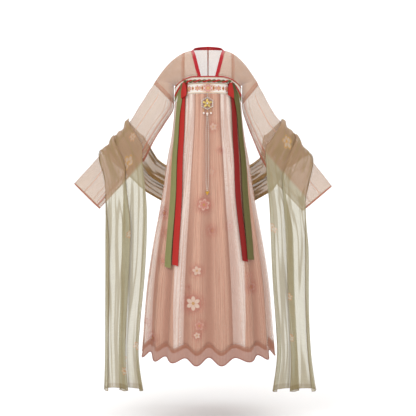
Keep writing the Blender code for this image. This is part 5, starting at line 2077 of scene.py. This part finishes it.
class RuqunSizes(bpy.types.PropertyGroup):
    """Sizes of the folds and edges, and how much each sheer cloth covers."""

    pleat_depth: length_of("Pleat depth", "Depth of the skirt's pleats at the band", 1.2 * MM)
    gather_depth: length_of("Gather depth", "Depth of the finest gathers at the band", 0.9 * MM)
    drape_depth: length_of("Drape depth", "Depth of the loose folds down the skirt", 3.5 * MM)
    hem_radius: length_of("Hem radius", "Radius of the skirt's rolled hem", 1.8 * MM)
    crease_depth: length_of("Crease depth", "Depth of the sleeves' small creases", 3.0 * MM)
    ribbon_thickness: length_of("Ribbon thickness", "Thickness of the tails", 0.8 * MM)
    shawl_ripple: length_of("Shawl ripple", "Depth of the shawl's small folds", 3.0 * MM)
    bunch_depth: length_of("Bunch depth", "Depth of the shawl's gathers over the arm", 8.0 * MM)
    ribbon_crease: share_of("Ribbon crease", "How deep the twisted ribbons crease", 0.16)
    shan_cover: share_of("Shan cover", "How much one layer of the shan hides", 0.62)
    sleeve_cover: share_of("Sleeve cover", "How much one layer of a sleeve hides", 0.44)
    skirt_cover: share_of("Skirt cover", "How much the outer skirt hides", 0.32)
    shawl_cover: share_of("Shawl cover", "How much one layer of the shawl hides", 0.66)


class RuqunColours(bpy.types.PropertyGroup):
    """Colours of the cloths, threads and jewels."""

    shan: colour_of("Shan", "Sheer cloth of the shan's body", "BE916D")
    sleeve: colour_of("Sleeve", "Sheer cloth of the sleeves", "C49F7C")
    seam: colour_of("Seam", "Seams and narrow hems", "A9583C")
    red: colour_of("Collar red", "Collar and piping", "B5202A")
    red_ribbon: colour_of("Red ribbon", "Front red ribbon and loops", "B82C26")
    dark_red_ribbon: colour_of("Dark red ribbon", "Red tail in the shade", "8C1C18")
    green_ribbon: colour_of("Green ribbon", "Light green ribbon", "8C8A5A")
    dark_green_ribbon: colour_of("Dark green ribbon", "Green ribbon in the shade", "6A643A")
    band: colour_of("Band", "Satin of the chest band", "F1E9E0")
    band_shade: colour_of("Band pattern", "Woven pattern of the band", "DCCDBF")
    gold_thread: colour_of("Gold thread", "Embroidery thread", "C99A4E")
    skirt: colour_of("Skirt", "Sheer outer skirt", "E6C0AA")
    # Painted shade of the outer skirt in its folds.
    skirt_fold: colour_of("Skirt fold", "Outer skirt in its folds", "A86248")
    hem: colour_of("Hem", "Rolled hem of the skirt", "8E4636")
    hem_veil: colour_of("Hem veil", "Outer skirt below the lining", "9A5E45")
    lining_cream: colour_of("Lining cream", "Cream gores of the lining", "FFFBF7")
    lining_pink: colour_of("Lining pink", "Pink gores of the lining", "E4B49C")
    # Painted shade in the lining's folds, and the colour of two of its seams.
    lining_fold: colour_of("Lining fold", "Lining in its deep folds", "8A4A34")
    shawl: colour_of("Shawl", "Sheer cloth of the shawl", "BAB292")
    shawl_edge: colour_of("Shawl edge", "Edges of the shawl", "857040")
    shawl_arm: colour_of("Shawl over the arm", "Gathered shawl over the sleeves", "AE8663")
    # Layered folds behind the skirt, with painted shade.
    shawl_behind: colour_of("Shawl behind", "Shawl where it lies in folds behind", "BC9A5C")
    ink_red: colour_of("Red ink", "Printed red", "A8453C")
    ink_halo: colour_of("Halo ink", "Soft wash round a print", "B45A4C")
    ink_pink: colour_of("Pink ink", "Printed pink", "D88C80")
    ink_cream: colour_of("Cream ink", "Printed cream", "F3DFCC")
    ink_gold: colour_of("Gold ink", "Printed gold", "C99438")
    ink_orange: colour_of("Orange ink", "Printed orange", "C98F5C")
    gold: colour_of("Gold", "Gold metal", "E0B04A")
    pale_gold: colour_of("Pale gold", "Gold of the pendant's flower", "F2D680")
    silver: colour_of("Silver", "Silver metal", "DCDAD6")
    bead: colour_of("Beads", "Small beads", "D5CDC2")
    pearl: colour_of("Pearl", "Pearls", "F1EAE1")
    pearl_blush: colour_of("Pearl blush", "Pink lustre of the pearls", "E8CFC6")


class OBJECT_OT_ruqun_shan(bpy.types.Operator):
    """Makes the two halves of the shan's body"""

    bl_idname = "object.ruqun_shan"
    bl_label = "Shan"
    bl_options = {"REGISTER", "UNDO"}

    def execute(self, context):
        make_shan()
        return {"FINISHED"}


class OBJECT_OT_ruqun_sleeves(bpy.types.Operator):
    """Makes both sleeves"""

    bl_idname = "object.ruqun_sleeves"
    bl_label = "Sleeves"
    bl_options = {"REGISTER", "UNDO"}

    def execute(self, context):
        make_sleeves()
        return {"FINISHED"}


class OBJECT_OT_ruqun_collar(bpy.types.Operator):
    """Makes the red collar"""

    bl_idname = "object.ruqun_collar"
    bl_label = "Collar"
    bl_options = {"REGISTER", "UNDO"}

    def execute(self, context):
        make_collar()
        return {"FINISHED"}


class OBJECT_OT_ruqun_skirt(bpy.types.Operator):
    """Makes the sheer outer skirt"""

    bl_idname = "object.ruqun_skirt"
    bl_label = "Outer skirt"
    bl_options = {"REGISTER", "UNDO"}

    def execute(self, context):
        make_skirt()
        return {"FINISHED"}


class OBJECT_OT_ruqun_lining(bpy.types.Operator):
    """Makes the striped lining"""

    bl_idname = "object.ruqun_lining"
    bl_label = "Lining"
    bl_options = {"REGISTER", "UNDO"}

    def execute(self, context):
        make_lining()
        return {"FINISHED"}


class OBJECT_OT_ruqun_band(bpy.types.Operator):
    """Makes the chest band, its piping, its gold line and its embroidered panel"""

    bl_idname = "object.ruqun_band"
    bl_label = "Chest band"
    bl_options = {"REGISTER", "UNDO"}

    def execute(self, context):
        make_band()
        make_panel()
        return {"FINISHED"}


class OBJECT_OT_ruqun_ties(bpy.types.Operator):
    """Makes the ribbons round the band, their twist, their knots and their loops"""

    bl_idname = "object.ruqun_ties"
    bl_label = "Ties"
    bl_options = {"REGISTER", "UNDO"}

    def execute(self, context):
        make_wraps()
        make_cord()
        make_knots()
        make_loops()
        return {"FINISHED"}


class OBJECT_OT_ruqun_tails(bpy.types.Operator):
    """Makes the four hanging ribbons"""

    bl_idname = "object.ruqun_tails"
    bl_label = "Tails"
    bl_options = {"REGISTER", "UNDO"}

    def execute(self, context):
        make_tails()
        return {"FINISHED"}


class OBJECT_OT_ruqun_pendant(bpy.types.Operator):
    """Makes the pendant and its pearls"""

    bl_idname = "object.ruqun_pendant"
    bl_label = "Pendant"
    bl_options = {"REGISTER", "UNDO"}

    def execute(self, context):
        make_pendant()
        return {"FINISHED"}


class OBJECT_OT_ruqun_beads(bpy.types.Operator):
    """Makes the bead rows and the gold bead at their end"""

    bl_idname = "object.ruqun_beads"
    bl_label = "Beads"
    bl_options = {"REGISTER", "UNDO"}

    def execute(self, context):
        make_beads()
        return {"FINISHED"}


class OBJECT_OT_ruqun_pibo(bpy.types.Operator):
    """Makes the long shawl"""

    bl_idname = "object.ruqun_pibo"
    bl_label = "Pibo"
    bl_options = {"REGISTER", "UNDO"}

    def execute(self, context):
        make_pibo()
        return {"FINISHED"}


class OBJECT_OT_ruqun_stage(bpy.types.Operator):
    """Sets up the backdrop, the lights and the camera"""

    bl_idname = "object.ruqun_stage"
    bl_label = "Stage"
    bl_options = {"REGISTER", "UNDO"}

    def execute(self, context):
        make_stage()
        return {"FINISHED"}


OPERATORS = (
    OBJECT_OT_ruqun_shan,
    OBJECT_OT_ruqun_sleeves,
    OBJECT_OT_ruqun_collar,
    OBJECT_OT_ruqun_skirt,
    OBJECT_OT_ruqun_lining,
    OBJECT_OT_ruqun_band,
    OBJECT_OT_ruqun_ties,
    OBJECT_OT_ruqun_tails,
    OBJECT_OT_ruqun_pendant,
    OBJECT_OT_ruqun_beads,
    OBJECT_OT_ruqun_pibo,
    OBJECT_OT_ruqun_stage,
)


class VIEW3D_PT_ruqun(bpy.types.Panel):
    """The pieces of the outfit, and their sizes and colours"""

    bl_label = "Qixiong ruqun"
    bl_idname = "VIEW3D_PT_ruqun"
    bl_space_type = "VIEW_3D"
    bl_region_type = "UI"
    bl_category = "Ruqun"

    def draw(self, context):
        layout = self.layout
        for group in (context.scene.ruqun_sizes, context.scene.ruqun_colours):
            box = layout.box()
            for name in group.__annotations__:
                box.prop(group, name)
        for operator in OPERATORS:
            layout.operator(operator.bl_idname)


CLASSES = (RuqunSizes, RuqunColours, *OPERATORS, VIEW3D_PT_ruqun)


def register():
    for cls in CLASSES:
        bpy.utils.register_class(cls)
    bpy.types.Scene.ruqun_sizes = bpy.props.PointerProperty(type=RuqunSizes)
    bpy.types.Scene.ruqun_colours = bpy.props.PointerProperty(type=RuqunColours)


def unregister():
    del bpy.types.Scene.ruqun_sizes
    del bpy.types.Scene.ruqun_colours
    for cls in reversed(CLASSES):
        bpy.utils.unregister_class(cls)


def main():
    register()
    bpy.ops.object.select_all(action="DESELECT")
    for operator in OPERATORS:
        category, name = operator.bl_idname.split(".")
        getattr(getattr(bpy.ops, category), name)()


if __name__ == "__main__":
    main()
